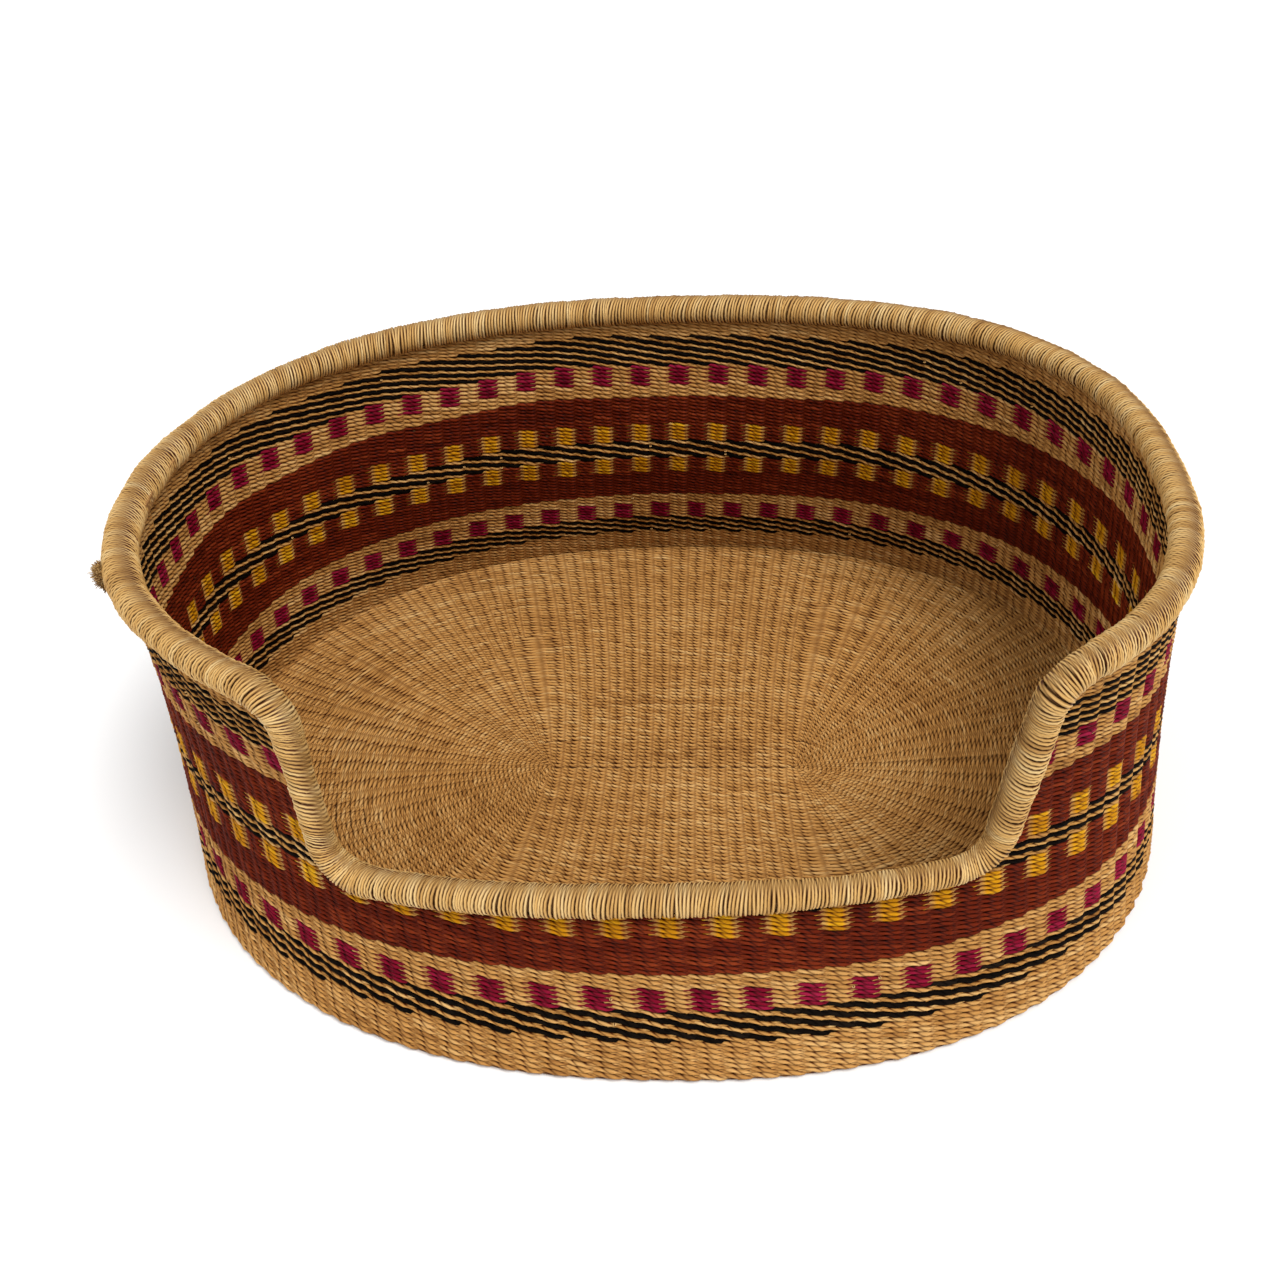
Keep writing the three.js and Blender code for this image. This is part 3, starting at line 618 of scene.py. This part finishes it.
def shown(red, green, blue):
    """A colour from its values on a screen."""
    channels = []
    for value in (red, green, blue):
        value = value / 255
        channels.append(value / 12.92 if value <= 0.04045 else ((value + 0.055) / 1.055) ** 2.4)
    return (*channels, 1.0)


class Reading:
    """A value in a finish. Sums on it add nodes to the finish."""

    def __init__(self, finish, socket):
        self.finish = finish
        self.socket = socket

    def sum_with(self, operation, *others):
        values = {index: other for index, other in enumerate((self, *others))}
        return self.finish.node("ShaderNodeMath", {"operation": operation}, values)

    def __add__(self, other):
        return self.sum_with("ADD", other)

    __radd__ = __add__

    def __mul__(self, other):
        return self.sum_with("MULTIPLY", other)

    __rmul__ = __mul__

    def __sub__(self, other):
        return self.sum_with("SUBTRACT", other)

    def __rsub__(self, other):
        return self.finish.node("ShaderNodeMath", {"operation": "SUBTRACT"}, {0: other, 1: self})

    def __truediv__(self, other):
        return self.sum_with("DIVIDE", other)

    def sine(self):
        return self.sum_with("SINE")

    def cosine(self):
        return self.sum_with("COSINE")

    def power(self, exponent):
        return self.sum_with("POWER", exponent)


class Finish:
    """A finish for a surface: nodes that lead to one shader."""

    def __init__(self, name):
        self.material = bpy.data.materials.new(name)
        self.material.use_nodes = True
        self.tree = self.material.node_tree
        self.tree.nodes.clear()
        self.output = self.tree.nodes.new("ShaderNodeOutputMaterial")

    def node(self, kind, settings=None, values=None, output=0):
        """A new node with its settings, then its sockets' values or links, read at one output."""
        made = self.tree.nodes.new(kind)
        for key, value in (settings or {}).items():
            if key == "stops":
                ramp = made.color_ramp
                while len(ramp.elements) < len(value):
                    ramp.elements.new(0.5)
                for element, (position, colour) in zip(ramp.elements, value):
                    element.position = position
                    element.color = colour
            else:
                setattr(made, key, value)
        for key, value in (values or {}).items():
            if isinstance(value, Reading):
                self.tree.links.new(value.socket, made.inputs[key])
            else:
                made.inputs[key].default_value = value
        return Reading(self, made.outputs[output])

    def attribute(self, name, output="Fac"):
        return self.node("ShaderNodeAttribute", {"attribute_name": name}, output=output)

    def mix(self, share, first, second, blend="MIX"):
        settings = {"data_type": "RGBA", "blend_type": blend}
        return self.node("ShaderNodeMix", settings, {0: share, 6: first, 7: second}, output=2)

    def end(self, values):
        shader = self.node("ShaderNodeBsdfPrincipled", None, values)
        self.tree.links.new(shader.socket, self.output.inputs["Surface"])
        return self.material


def tones(*colours):
    """Even steps from the darkest to the palest tone of a grass."""
    return [(index / (len(colours) - 1), shown(*colour)) for index, colour in enumerate(colours)]


NATURAL_TONES = tones((126, 76, 30), (196, 142, 76), (236, 194, 128))
BINDING_TONES = tones((148, 98, 42), (216, 170, 100), (244, 214, 154))
RUST_TONES = tones((62, 14, 3), (106, 32, 9), (154, 66, 30))
BLACK_TONES = tones((8, 5, 3), (15, 10, 7), (34, 26, 20))
MAGENTA_TONES = tones((84, 2, 20), (124, 8, 36), (168, 34, 72))
YELLOW_TONES = tones((160, 96, 6), (204, 138, 8), (242, 188, 30))
# The stakes are painted dark brown for the shade they lie in deep inside the weave.
SHADED_STAKE_TONES = tones((52, 32, 14), (110, 74, 36))
CORE_TONES = tones((104, 64, 26), (176, 126, 66))
# Painted shade darkens a strand's colour towards this dark brown.
SHADE = shown(84, 46, 20)

# How finely the fibres run along a strand and round it, how much fibres and patches change its
# tone, how sharp the painted shade in the groove between its plies is and how much of it is left
# between two stakes.
FIBRE_STRETCH = 3.0
FIBRE_FINENESS = 2.6
STREAK_SHARE = 0.55
PATCH_SCALE = 9.0
PATCH_SHARE = 0.4
PLY_GROOVE_SHADE_POWER = 4.5
PLY_GROOVE_SHADE_FADE = 0.4
PALE_TIP_SHARE = 0.85
GRAIN_SCALE = 140.0


def woven_grass(name, plain_tones, dyed_tones=None, tip_tones=None, roughness=0.6,
                edge_shade=0.6, edge_width=1.5, ply_shade=0.7, dive_shade=0.0, gloss=0.06):
    """Twisted strands of grass: tones by the blade, fibres along it, two plies and painted shade.
    """
    finish = Finish(name)
    fibre = finish.attribute("fibre", "Vector")
    parts = "ShaderNodeSeparateXYZ"
    turns = finish.node(parts, None, {0: fibre}, output=0)
    cosine = finish.node(parts, None, {0: fibre}, output=1)
    sine = finish.node(parts, None, {0: fibre}, output=2)
    place = finish.node("ShaderNodeTexCoord", output="Object")
    stretched = finish.node("ShaderNodeCombineXYZ", None,
                            {0: turns * FIBRE_STRETCH, 1: cosine * FIBRE_FINENESS,
                             2: sine * FIBRE_FINENESS})
    streak = finish.node("ShaderNodeTexNoise", None,
                         {"Vector": stretched, "Scale": 1.0, "Detail": 3.0, "Roughness": 0.6})
    patch = finish.node("ShaderNodeTexNoise", None,
                        {"Vector": place, "Scale": PATCH_SCALE, "Detail": 2.0, "Roughness": 0.5})
    reach = cosine * cosine + sine * sine
    turned = turns * (4 * math.pi)
    level_part = (cosine * cosine - sine * sine) * turned.cosine()
    ply = (level_part - cosine * sine * 2.0 * turned.sine()) / reach
    # Painted shade: a dark line in the groove between the plies, faded where the strand lies deep,
    # dark bands along its upper and lower edges where rows and turns meet, and darkness where it
    # lies deep.
    between = (ply * -0.5 + 0.5).power(PLY_GROOVE_SHADE_POWER)
    edge = (sine * sine / reach).power(edge_width)
    sunk = finish.attribute("sunk")
    shade = between * (1.0 - sunk * PLY_GROOVE_SHADE_FADE) * ply_shade
    shade = shade + edge * edge_shade + sunk * dive_shade
    tone = finish.attribute("tone") + (streak - 0.5) * STREAK_SHARE + (patch - 0.5) * PATCH_SHARE
    colour = finish.node("ShaderNodeValToRGB", {"stops": plain_tones}, {0: tone})
    if dyed_tones:
        dyed = finish.node("ShaderNodeValToRGB", {"stops": dyed_tones}, {0: tone})
        colour = finish.mix(finish.attribute("dye"), colour, dyed)
    if tip_tones:
        tips = finish.node("ShaderNodeValToRGB", {"stops": tip_tones}, {0: tone})
        colour = finish.mix((finish.attribute("dye") - 1.0) * PALE_TIP_SHARE, colour, tips)
    # The painted shade is laid over the colour here.
    colour = finish.mix(shade, colour, SHADE, "MULTIPLY")
    bump = finish.node("ShaderNodeBump", None,
                       {"Strength": 0.6, "Distance": 0.0005, "Height": streak * 0.6 + ply * 0.5})
    rough = (streak - 0.5) * 0.3 + roughness
    return finish.end({"Base Color": colour, "Roughness": rough, "Normal": bump,
                       "Specular IOR Level": gloss})


def bare_grass(name, stem_tones):
    """Stakes and core: bundled stems with a fine grain."""
    finish = Finish(name)
    place = finish.node("ShaderNodeTexCoord", output="Object")
    grain = finish.node("ShaderNodeTexNoise", None,
                        {"Vector": place, "Scale": GRAIN_SCALE, "Detail": 4.0, "Roughness": 0.6})
    colour = finish.node("ShaderNodeValToRGB", {"stops": stem_tones}, {0: grain})
    bump = finish.node("ShaderNodeBump", None,
                       {"Strength": 0.4, "Distance": 0.0004, "Height": grain})
    return finish.end({"Base Color": colour, "Roughness": grain * 0.3 + 0.55, "Normal": bump})


natural_grass = woven_grass("natural_grass", NATURAL_TONES)
striped_grass = woven_grass("black_and_natural_grass", NATURAL_TONES, BLACK_TONES, gloss=0.02)
checked_grass = woven_grass("magenta_and_natural_grass", NATURAL_TONES, MAGENTA_TONES)
rust_grass = woven_grass("rust_and_yellow_grass", RUST_TONES, YELLOW_TONES, NATURAL_TONES)
# The floor's strands also get painted shade where they dive between the stakes.
floor_grass = woven_grass("floor_grass", NATURAL_TONES, edge_shade=0.85, dive_shade=0.1)
# The binding's turns get painted shade in the grooves between them, and the brush's fibres towards
# their roots.
binding_grass = woven_grass("binding_grass", BINDING_TONES, roughness=0.5, edge_shade=0.85,
                            edge_width=1.0, dive_shade=0.4, gloss=0.15)
stake_grass = bare_grass("stake_grass", SHADED_STAKE_TONES)
core_grass = bare_grass("core_grass", CORE_TONES)

for node_name, material in (
    ("cross_stakes", stake_grass),
    ("right_fan_stakes", stake_grass),
    ("left_fan_stakes", stake_grass),
    ("rim_core", core_grass),
):
    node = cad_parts[node_name]
    node.data.materials.clear()
    node.data.materials.append(material)


# The wall, from the floor up: the dyes of a row's two strands, and which of them comes first.
PLAIN_ROW = (UNDYED, UNDYED, 0)
CHECK_ON_EVEN = (DYED, UNDYED, 0)
CHECK_ON_ODD = (DYED, UNDYED, 1)
YELLOW_ON_ODD = (PALE_TIPPED, UNDYED, 1)


def stripe_rows(count):
    """Rows of one black and one natural strand, each a stake further than the row below."""
    return [(DYED, UNDYED, number % 2) for number in range(count)]


wall_band("foot_rows", "foot_plain_band", FOOT_BOTTOM, LOWER_STRIPE_START,
          [PLAIN_ROW] * 7, natural_grass, 21)
wall_band("lower_stripe_rows", "lower_stripe_band", LOWER_STRIPE_START, LOWER_CHECK_START,
          stripe_rows(6), striped_grass, 22, STRIPE_LAY)
wall_band("lower_check_rows", "lower_check_band", LOWER_CHECK_START, LOWER_RUST_START,
          [CHECK_ON_EVEN] * 5 + [PLAIN_ROW] * 3, checked_grass, 23)
wall_band("lower_rust_rows", "lower_rust_band", LOWER_RUST_START, LOWER_YELLOW_START,
          [PLAIN_ROW] * 8, rust_grass, 24)
wall_band("lower_yellow_rows", "lower_rust_band", LOWER_YELLOW_START, MIDDLE_STRIPE_START,
          [YELLOW_ON_ODD] * 5, rust_grass, 30)
wall_band("middle_stripe_rows", "middle_stripe_band", MIDDLE_STRIPE_START, UPPER_RUST_START,
          stripe_rows(5), striped_grass, 25, STRIPE_LAY)
wall_band("upper_yellow_rows", "upper_rust_band", UPPER_RUST_START, UPPER_YELLOW_END,
          [YELLOW_ON_ODD] * 5, rust_grass, 31)
wall_band("upper_rust_rows", "upper_rust_band", UPPER_YELLOW_END, UPPER_CHECK_START,
          [PLAIN_ROW] * 8, rust_grass, 26)
wall_band("upper_check_rows", "upper_check_band", UPPER_CHECK_START, UPPER_STRIPE_START,
          [PLAIN_ROW] * 3 + [CHECK_ON_ODD] * 5, checked_grass, 27)
wall_band("upper_stripe_rows", "upper_stripe_band", UPPER_STRIPE_START, TOP_PLAIN_START,
          stripe_rows(9), striped_grass, 28, STRIPE_LAY)
wall_band("top_rows", "top_plain_band", TOP_PLAIN_START, TOP_PLAIN_END,
          [PLAIN_ROW] * 5, natural_grass, 29)

# The floor, in rings of rows from the start row outwards.
for floor_name, from_row, to_row, seed in (
    ("floor_middle_rows", 0, 32, 41),
    ("floor_inner_rows", 32, 48, 42),
    ("floor_outer_rows", 48, 63, 43),
    ("floor_edge_rows", 63, FLOOR_ROWS, 44),
):
    floor_weaving = Weaving(floor_name, 0)
    floor_rng = np.random.default_rng(seed)
    for row in range(from_row, to_row):
        floor_row(floor_weaving, floor_rng, row)
    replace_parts(floor_weaving.finished(floor_grass), "floor_weave")


# The rim: one long strand wound round the core.
RIM_TOP_POINTS = 1600
RIM_STEPS = 2400
CORNER_EASE = 6


def eased(values, half):
    """Values along the closed rim, each the mean of its neighbours."""
    padded = np.concatenate([values[-half:], values, values[:half]])
    return np.convolve(padded, np.ones(2 * half + 1) / (2 * half + 1), "valid")


def rim_line():
    """The rim's centre line, evenly stepped, with the directions out and towards the wall."""
    outline = doorway_outline(0.0)
    angle, height = front_place(outline[:, 0], outline[:, 1])
    first, last = angle[-1], angle[0] + 2 * math.pi
    top = np.linspace(first, last, RIM_TOP_POINTS + 2)[1:-1]
    angle = np.concatenate([top, angle + 2 * math.pi])
    height = np.concatenate([np.full(len(top), RIM_HEIGHT), height])
    points = wall_point(angle, height)
    closed = np.concatenate([points, points[:1]])
    walked = np.concatenate([[0], np.cumsum(np.linalg.norm(np.diff(closed, axis=0), axis=1))])
    steps = np.linspace(0, walked[-1], RIM_STEPS, endpoint=False)
    even = np.stack([np.interp(steps, walked, closed[:, axis]) for axis in range(3)], axis=-1)
    out = outward_at(angle, height)
    out = np.concatenate([out, out[:1]])
    out = np.stack([np.interp(steps, walked, out[:, axis]) for axis in range(3)], axis=-1)
    for line in (even, out):
        for axis in range(3):
            line[:, axis] = eased(line[:, axis], CORNER_EASE)
    along = unit(np.roll(even, -1, axis=0) - np.roll(even, 1, axis=0))
    out = unit(out - np.sum(out * along, axis=-1, keepdims=True) * along)
    return even, along, out, walked[-1]


def follow(line, share):
    """Values of a closed, evenly stepped line at shares of its length."""
    count = len(line)
    place = (share % 1.0) * count
    index = np.floor(place).astype(int) % count
    part = (place - np.floor(place))[:, None]
    return line[index] * (1 - part) + line[(index + 1) % count] * part


rim_centre, rim_along, rim_out, rim_length = rim_line()

# At the left end the binding is wound fuller and stands a little further out.
FULL_END_START = -0.28
FULL_END_LENGTH = 0.07
FULL_END_OUT = 0.003
FULL_END_RADIUS = 0.0013
FULL_END_BACK = 0.08
full_share = np.clip((FULL_END_START - rim_centre[:, 0]) / FULL_END_LENGTH, 0, 1)
full_share *= np.clip((FULL_END_BACK - rim_centre[:, 1]) / FULL_END_LENGTH, 0, 1)
rim_full = (full_share * full_share * (3 - 2 * full_share))[:, None]
rim_centre = rim_centre + FULL_END_OUT * rim_full * rim_out

UPPER_CORNERS = (DOORWAY_LEFT - 1.5 * DOORWAY_UPPER_RADIUS,
                 DOORWAY_RIGHT_AT_TOP + 1.5 * DOORWAY_UPPER_RADIUS)

# How unlike the turns' pitches are, where one gap is left open and by how much, and how often a
# drifting value jumps.
PITCH_SPREAD = 0.08
PITCH_LIMITS = (0.75, 1.3)
SPLIT_HEIGHT = 0.278
SPLIT_WIDTH = 0.0024
JUMP_CHANCE = 0.03


def wrap_starts(rng):
    """Where each turn of the binding starts along the rim.

    Turns are closer on the sill than on the posts, and closest round the upper corners. One gap
    is left open at the right corner."""
    starts = [0.0]
    while starts[-1] < rim_length:
        x, y, z = rim_centre[int(starts[-1] / rim_length * len(rim_centre))]
        pitch = WRAP_PITCH
        if y < 0 and z < SILL_HEIGHTS[1] + DOORWAY_LOWER_RADIUS:
            pitch *= SILL_WRAP_SHARE
        elif y < 0 and z < RIM_HEIGHT - DOORWAY_UPPER_RADIUS:
            pitch *= LEFT_POST_WRAP_SHARE if x < 0 else RIGHT_POST_WRAP_SHARE
        elif y < 0 and UPPER_CORNERS[0] < x < UPPER_CORNERS[1]:
            pitch *= CORNER_WRAP_SHARE
        pitch *= float(np.clip(rng.normal(1, PITCH_SPREAD), *PITCH_LIMITS))
        on_right = y < 0 < x < UPPER_CORNERS[1]
        if on_right and abs(z - SPLIT_HEIGHT) < 0.5 * pitch:
            pitch += SPLIT_WIDTH
        starts.append(starts[-1] + pitch)
    return np.array(starts) * rim_length / starts[-1]


def drifting(rng, count, hold, size):
    """A value for each turn that drifts: neighbours are alike, and now and then it jumps."""
    values = np.empty(count)
    value = 0.0
    for index in range(count):
        if rng.uniform() < JUMP_CHANCE:
            value = rng.normal(0, size)
        value = hold * value + rng.normal(0, size * math.sqrt(1 - hold * hold))
        values[index] = value
    return values


rim_x, rim_y, rim_z = rim_centre.T
on_sill = (rim_y < 0) & (rim_z < SILL_HEIGHTS[1] + 0.4 * DOORWAY_LOWER_RADIUS)
on_left_post = (rim_y < 0) & (rim_x < 0) & (rim_z < RIM_HEIGHT - DOORWAY_UPPER_RADIUS) & ~on_sill

# The turns hardly lean on the sill, not at all round the right corner, and lean most on the left
# post. The binding is stouter at the back, and slimmer on the left post and the sill's right part.
RIGHT_CORNER = (0.2, 0.26)
CORNER_LOW = 0.25
SILL_LEAN_SHARE = 0.3
LEFT_POST_LEAN_SHARE = 2.2
LEAN_EASE = 20
SLIM_SILL_START = 0.09
STOUT_BACK_START = 0.2
SLIM_SHARE = 0.81
STOUT_SHARE = 1.09
STOUT_EASE = 30
in_corner = (rim_y < 0) & (rim_z > CORNER_LOW)
in_corner &= (rim_x > RIGHT_CORNER[0]) & (rim_x < RIGHT_CORNER[1])
lean_shares = [SILL_LEAN_SHARE, LEFT_POST_LEAN_SHARE, 0.0]
rim_lean = np.select([on_sill, on_left_post, in_corner], lean_shares, 1.0)
rim_lean = eased(WRAP_LEAN * rim_lean, LEAN_EASE)[:, None]
slim = on_left_post | (on_sill & (rim_x > SLIM_SILL_START))
rim_stout = np.select([slim, rim_y > STOUT_BACK_START], [SLIM_SHARE, STOUT_SHARE], 1.0)
rim_stout = eased(rim_stout, STOUT_EASE)[:, None]

# How unlike the turns are: how they drift and stray along the rim, their distance from the core's
# centre, with two slow waves in it, and their plumpness and tone.
DRIFT_HOLD = 0.85
DRIFT_SPREAD = 0.0008
SLANT_SPREAD = 0.0002
STRAY_SPREAD = 0.00022
RADIUS_WAVES = ((0.02, 3.7, 0), (0.015, 11, 1))
RADIUS_SPREAD = 0.022
WRAP_PLUMP_SPREAD = 0.07
GAP_LIMITS = (0.95 * WRAP_PITCH, 1.6 * WRAP_PITCH)
WRAP_TONE = 0.56
WRAP_TONE_SPREAD = 0.15

wrap_rng = np.random.default_rng(51)
wrap_place = wrap_starts(wrap_rng)
wrap_count = len(wrap_place) - 1
wrap_turn = np.append(np.arange(0, wrap_count, 1 / WRAP_STEPS), wrap_count)
wrap_angle = 2 * math.pi * wrap_turn


def by_turn(values):
    """Values for each turn of the binding, spread over its steps."""
    return np.interp(wrap_turn, np.arange(wrap_count), values)


wrap_walked = np.interp(wrap_turn, np.arange(wrap_count + 1), wrap_place)
wrap_slant = drifting(wrap_rng, wrap_count, DRIFT_HOLD, DRIFT_SPREAD)
wrap_slant += wrap_rng.normal(0, SLANT_SPREAD, wrap_count)
wrap_cross, wrap_kink, wrap_kick = wrap_rng.normal(0, STRAY_SPREAD, (3, wrap_count))
wrap_lean = follow(rim_lean, wrap_walked / rim_length)[:, 0]
wrap_walked += (by_turn(wrap_slant) - wrap_lean) * np.sin(wrap_angle)
wrap_walked += by_turn(wrap_cross) * np.cos(wrap_angle)
wrap_walked += by_turn(wrap_kink) * np.sin(2 * wrap_angle)
wrap_walked += by_turn(wrap_kick) * np.cos(2 * wrap_angle)
wrap_share = wrap_walked / rim_length
wrap_wave = 1 + sum(size * np.sin(wrap_turn / slow + start) for size, slow, start in RADIUS_WAVES)
wrap_radius = WRAP_RADIUS + FULL_END_RADIUS * follow(rim_full, wrap_share)[:, 0]
wrap_radius *= wrap_wave * by_turn(wrap_rng.normal(1, RADIUS_SPREAD, wrap_count))
wrap_radius *= follow(rim_stout, wrap_share)[:, 0]
wrap_middle = follow(rim_centre, wrap_share)
wrap_along = unit(follow(rim_along, wrap_share))
wrap_out = follow(rim_out, wrap_share)
wrap_out = unit(wrap_out - np.sum(wrap_out * wrap_along, axis=-1, keepdims=True) * wrap_along)
wrap_down = np.cross(wrap_along, wrap_out)
wrap_radial = (np.cos(wrap_angle)[:, None] * wrap_down + np.sin(wrap_angle)[:, None] * wrap_out)
wrap_path = wrap_middle + wrap_radius[:, None] * wrap_radial
wrap_tangent = unit(np.gradient(wrap_path, axis=0))
wrap_side = unit(np.cross(wrap_radial, wrap_tangent))
wrap_plump = by_turn(wrap_rng.normal(1, WRAP_PLUMP_SPREAD, wrap_count))
wrap_gap = np.clip(np.diff(wrap_place), *GAP_LIMITS)
wrap_gap = np.convolve(wrap_gap, np.ones(3) / 3, "same")
wrap_width = 0.5 * WRAP_FULLNESS * by_turn(wrap_gap) * wrap_plump
wrap_thick = WRAP_HALF_THICKNESS * np.sqrt(by_turn(wrap_gap) / WRAP_PITCH) * wrap_plump
wrap_tone = wrap_rng.normal(WRAP_TONE, WRAP_TONE_SPREAD, wrap_count)
wrap_tone = by_turn(np.clip(wrap_tone, 0, 1))
rim_wrap = Weaving("rim_wrap", PLY_SWELL / 2)
rim_wrap.strand(wrap_path, wrap_radial, wrap_side, wrap_thick, wrap_width,
                0 * wrap_turn, wrap_tone, wrap_turn - PLY_START, UNDYED)
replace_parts(rim_wrap.finished(binding_grass), "rim_binding")

# The brush of cut ends that stands out of the binding at the left.
BRUSH_TURN = math.radians(200.4)
BRUSH_DROOP = math.radians(12)
BRUSH_FIBRES = 800
BRUSH_REACH = 0.0086
BRUSH_SEAT = 0.0128
BRUSH_STEPS = np.linspace(0, 1, 5)
BRUSH_OPENING = math.radians(82)
BRUSH_ROOT_SPREAD = 0.002
BRUSH_REACH_SPREAD = 0.07
BRUSH_CURL = 0.0009
FIBRE_RADIUS = 0.00036
FIBRE_TAPER = 0.4
FIBRE_RADIUS_LIMITS = (0.8, 1.3)
BRUSH_ROOT_SHADE = 1.2
BRUSH_TONE = 0.55
BRUSH_TONE_SPREAD = 0.2
brush_rng = np.random.default_rng(61)
brush_angle = np.array([BRUSH_TURN])
brush_ahead = outward_at(brush_angle, RIM_HEIGHT)[0]
brush_ahead[2] = -math.sin(BRUSH_DROOP)
brush_ahead = unit(brush_ahead)
brush_side = unit(np.cross([0, 0, 1], brush_ahead))
brush_up = np.cross(brush_ahead, brush_side)
brush_seat = wall_point(brush_angle, RIM_HEIGHT)[0] + BRUSH_SEAT * brush_ahead
brush = Weaving("binding_brush", 0)
for _ in range(BRUSH_FIBRES):
    turn = brush_rng.uniform(0, 2 * math.pi)
    open_angle = BRUSH_OPENING * math.sqrt(brush_rng.uniform())
    sideways = math.cos(turn) * brush_side + math.sin(turn) * brush_up
    way = math.cos(open_angle) * brush_ahead + math.sin(open_angle) * sideways
    root = brush_seat + BRUSH_ROOT_SPREAD * math.sin(open_angle) * sideways
    length = BRUSH_REACH * brush_rng.normal(1, BRUSH_REACH_SPREAD)
    curl = BRUSH_CURL * brush_rng.normal(0, 1, 3)
    along = BRUSH_STEPS[:, None]
    fibre_path = root + along * length * way + along ** 2 * curl
    ones = np.ones_like(along)
    fibre_side = unit(np.cross(way, [0.3, 0.2, 0.9]))
    fibre_out = np.cross(fibre_side, way)
    thickness = FIBRE_RADIUS * (1 - FIBRE_TAPER * BRUSH_STEPS)
    thickness *= brush_rng.uniform(*FIBRE_RADIUS_LIMITS)
    # Painted shade, darkest at each fibre's root deep in the brush.
    depth = BRUSH_ROOT_SHADE * (1 - BRUSH_STEPS)
    tone = np.clip(brush_rng.normal(BRUSH_TONE, BRUSH_TONE_SPREAD), 0, 1)
    brush.strand(fibre_path, ones * fibre_side, ones * fibre_out, thickness, thickness,
                 depth, np.full(len(BRUSH_STEPS), tone), BRUSH_STEPS, UNDYED)
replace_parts(brush.finished(binding_grass), "binding_tuft")

# Ground, lamps and camera. The sky lights the basket less than it is seen.
GROUND_HALF = 6.0
SKY_LIGHT = 0.55
SKY_SEEN = 1.0
bpy.ops.object.select_all(action="DESELECT")
bpy.ops.mesh.primitive_plane_add(size=2 * GROUND_HALF, location=(0, 0, 0))
ground = bpy.context.object
ground.name = "ground"
pale_ground = {"Base Color": (0.9, 0.9, 0.9, 1.0), "Roughness": 0.9}
ground.data.materials.append(Finish("pale_ground").end(pale_ground))

world = bpy.data.worlds.new("studio")
bpy.context.scene.world = world
world.use_nodes = True
sky = world.node_tree
sky.nodes.clear()
sky_output = sky.nodes.new("ShaderNodeOutputWorld")
sky_mix = sky.nodes.new("ShaderNodeMixShader")
sky_path = sky.nodes.new("ShaderNodeLightPath")
sky.links.new(sky_path.outputs["Is Camera Ray"], sky_mix.inputs[0])
for socket, strength in ((1, SKY_LIGHT), (2, SKY_SEEN)):
    white_sky = sky.nodes.new("ShaderNodeBackground")
    white_sky.inputs["Color"].default_value = (1.0, 1.0, 1.0, 1.0)
    white_sky.inputs["Strength"].default_value = strength
    sky.links.new(white_sky.outputs[0], sky_mix.inputs[socket])
sky.links.new(sky_mix.outputs[0], sky_output.inputs["Surface"])


def soft_light(name, direction, spread, strength):
    """An even, soft light from a direction, as from a large studio window."""
    lamp = bpy.data.lights.new(name, "SUN")
    lamp.angle = math.radians(spread)
    lamp.energy = strength
    holder = bpy.data.objects.new(name, lamp)
    bpy.context.scene.collection.objects.link(holder)
    holder.rotation_euler = Vector(direction).to_track_quat("Z", "Y").to_euler()


soft_light("key_light", (0.42, -0.4, 1.15), 28, 2.5)
soft_light("fill_light", (-0.8, -0.3, 0.9), 60, 0.6)

CAMERA_PLACE = Vector((0.0651, -0.8418, 0.8282))
YAW, PITCH, ROLL = (math.radians(value) for value in (-5.61, -39.424, -3.978))
FOCAL_PIXELS = 1413.6
FRAME_PIXELS = 1280
level_ahead = Vector((math.sin(YAW), math.cos(YAW), 0))
forward = level_ahead * math.cos(PITCH) + Vector((0, 0, math.sin(PITCH)))
level_right = Vector((math.cos(YAW), -math.sin(YAW), 0))
level_up = level_right.cross(forward)
camera_right = level_right * math.cos(ROLL) + level_up * math.sin(ROLL)
camera_up = level_up * math.cos(ROLL) - level_right * math.sin(ROLL)
camera_data = bpy.data.cameras.new("camera")
camera_data.sensor_width = 36
camera_data.lens = FOCAL_PIXELS / FRAME_PIXELS * camera_data.sensor_width
camera_data.clip_start = 0.05
camera = bpy.data.objects.new("camera", camera_data)
bpy.context.scene.collection.objects.link(camera)
turn = Matrix((camera_right, camera_up, -forward)).transposed()
camera.matrix_world = Matrix.Translation(CAMERA_PLACE) @ turn.to_4x4()
bpy.context.scene.camera = camera
bpy.context.scene.view_settings.view_transform = "Standard"
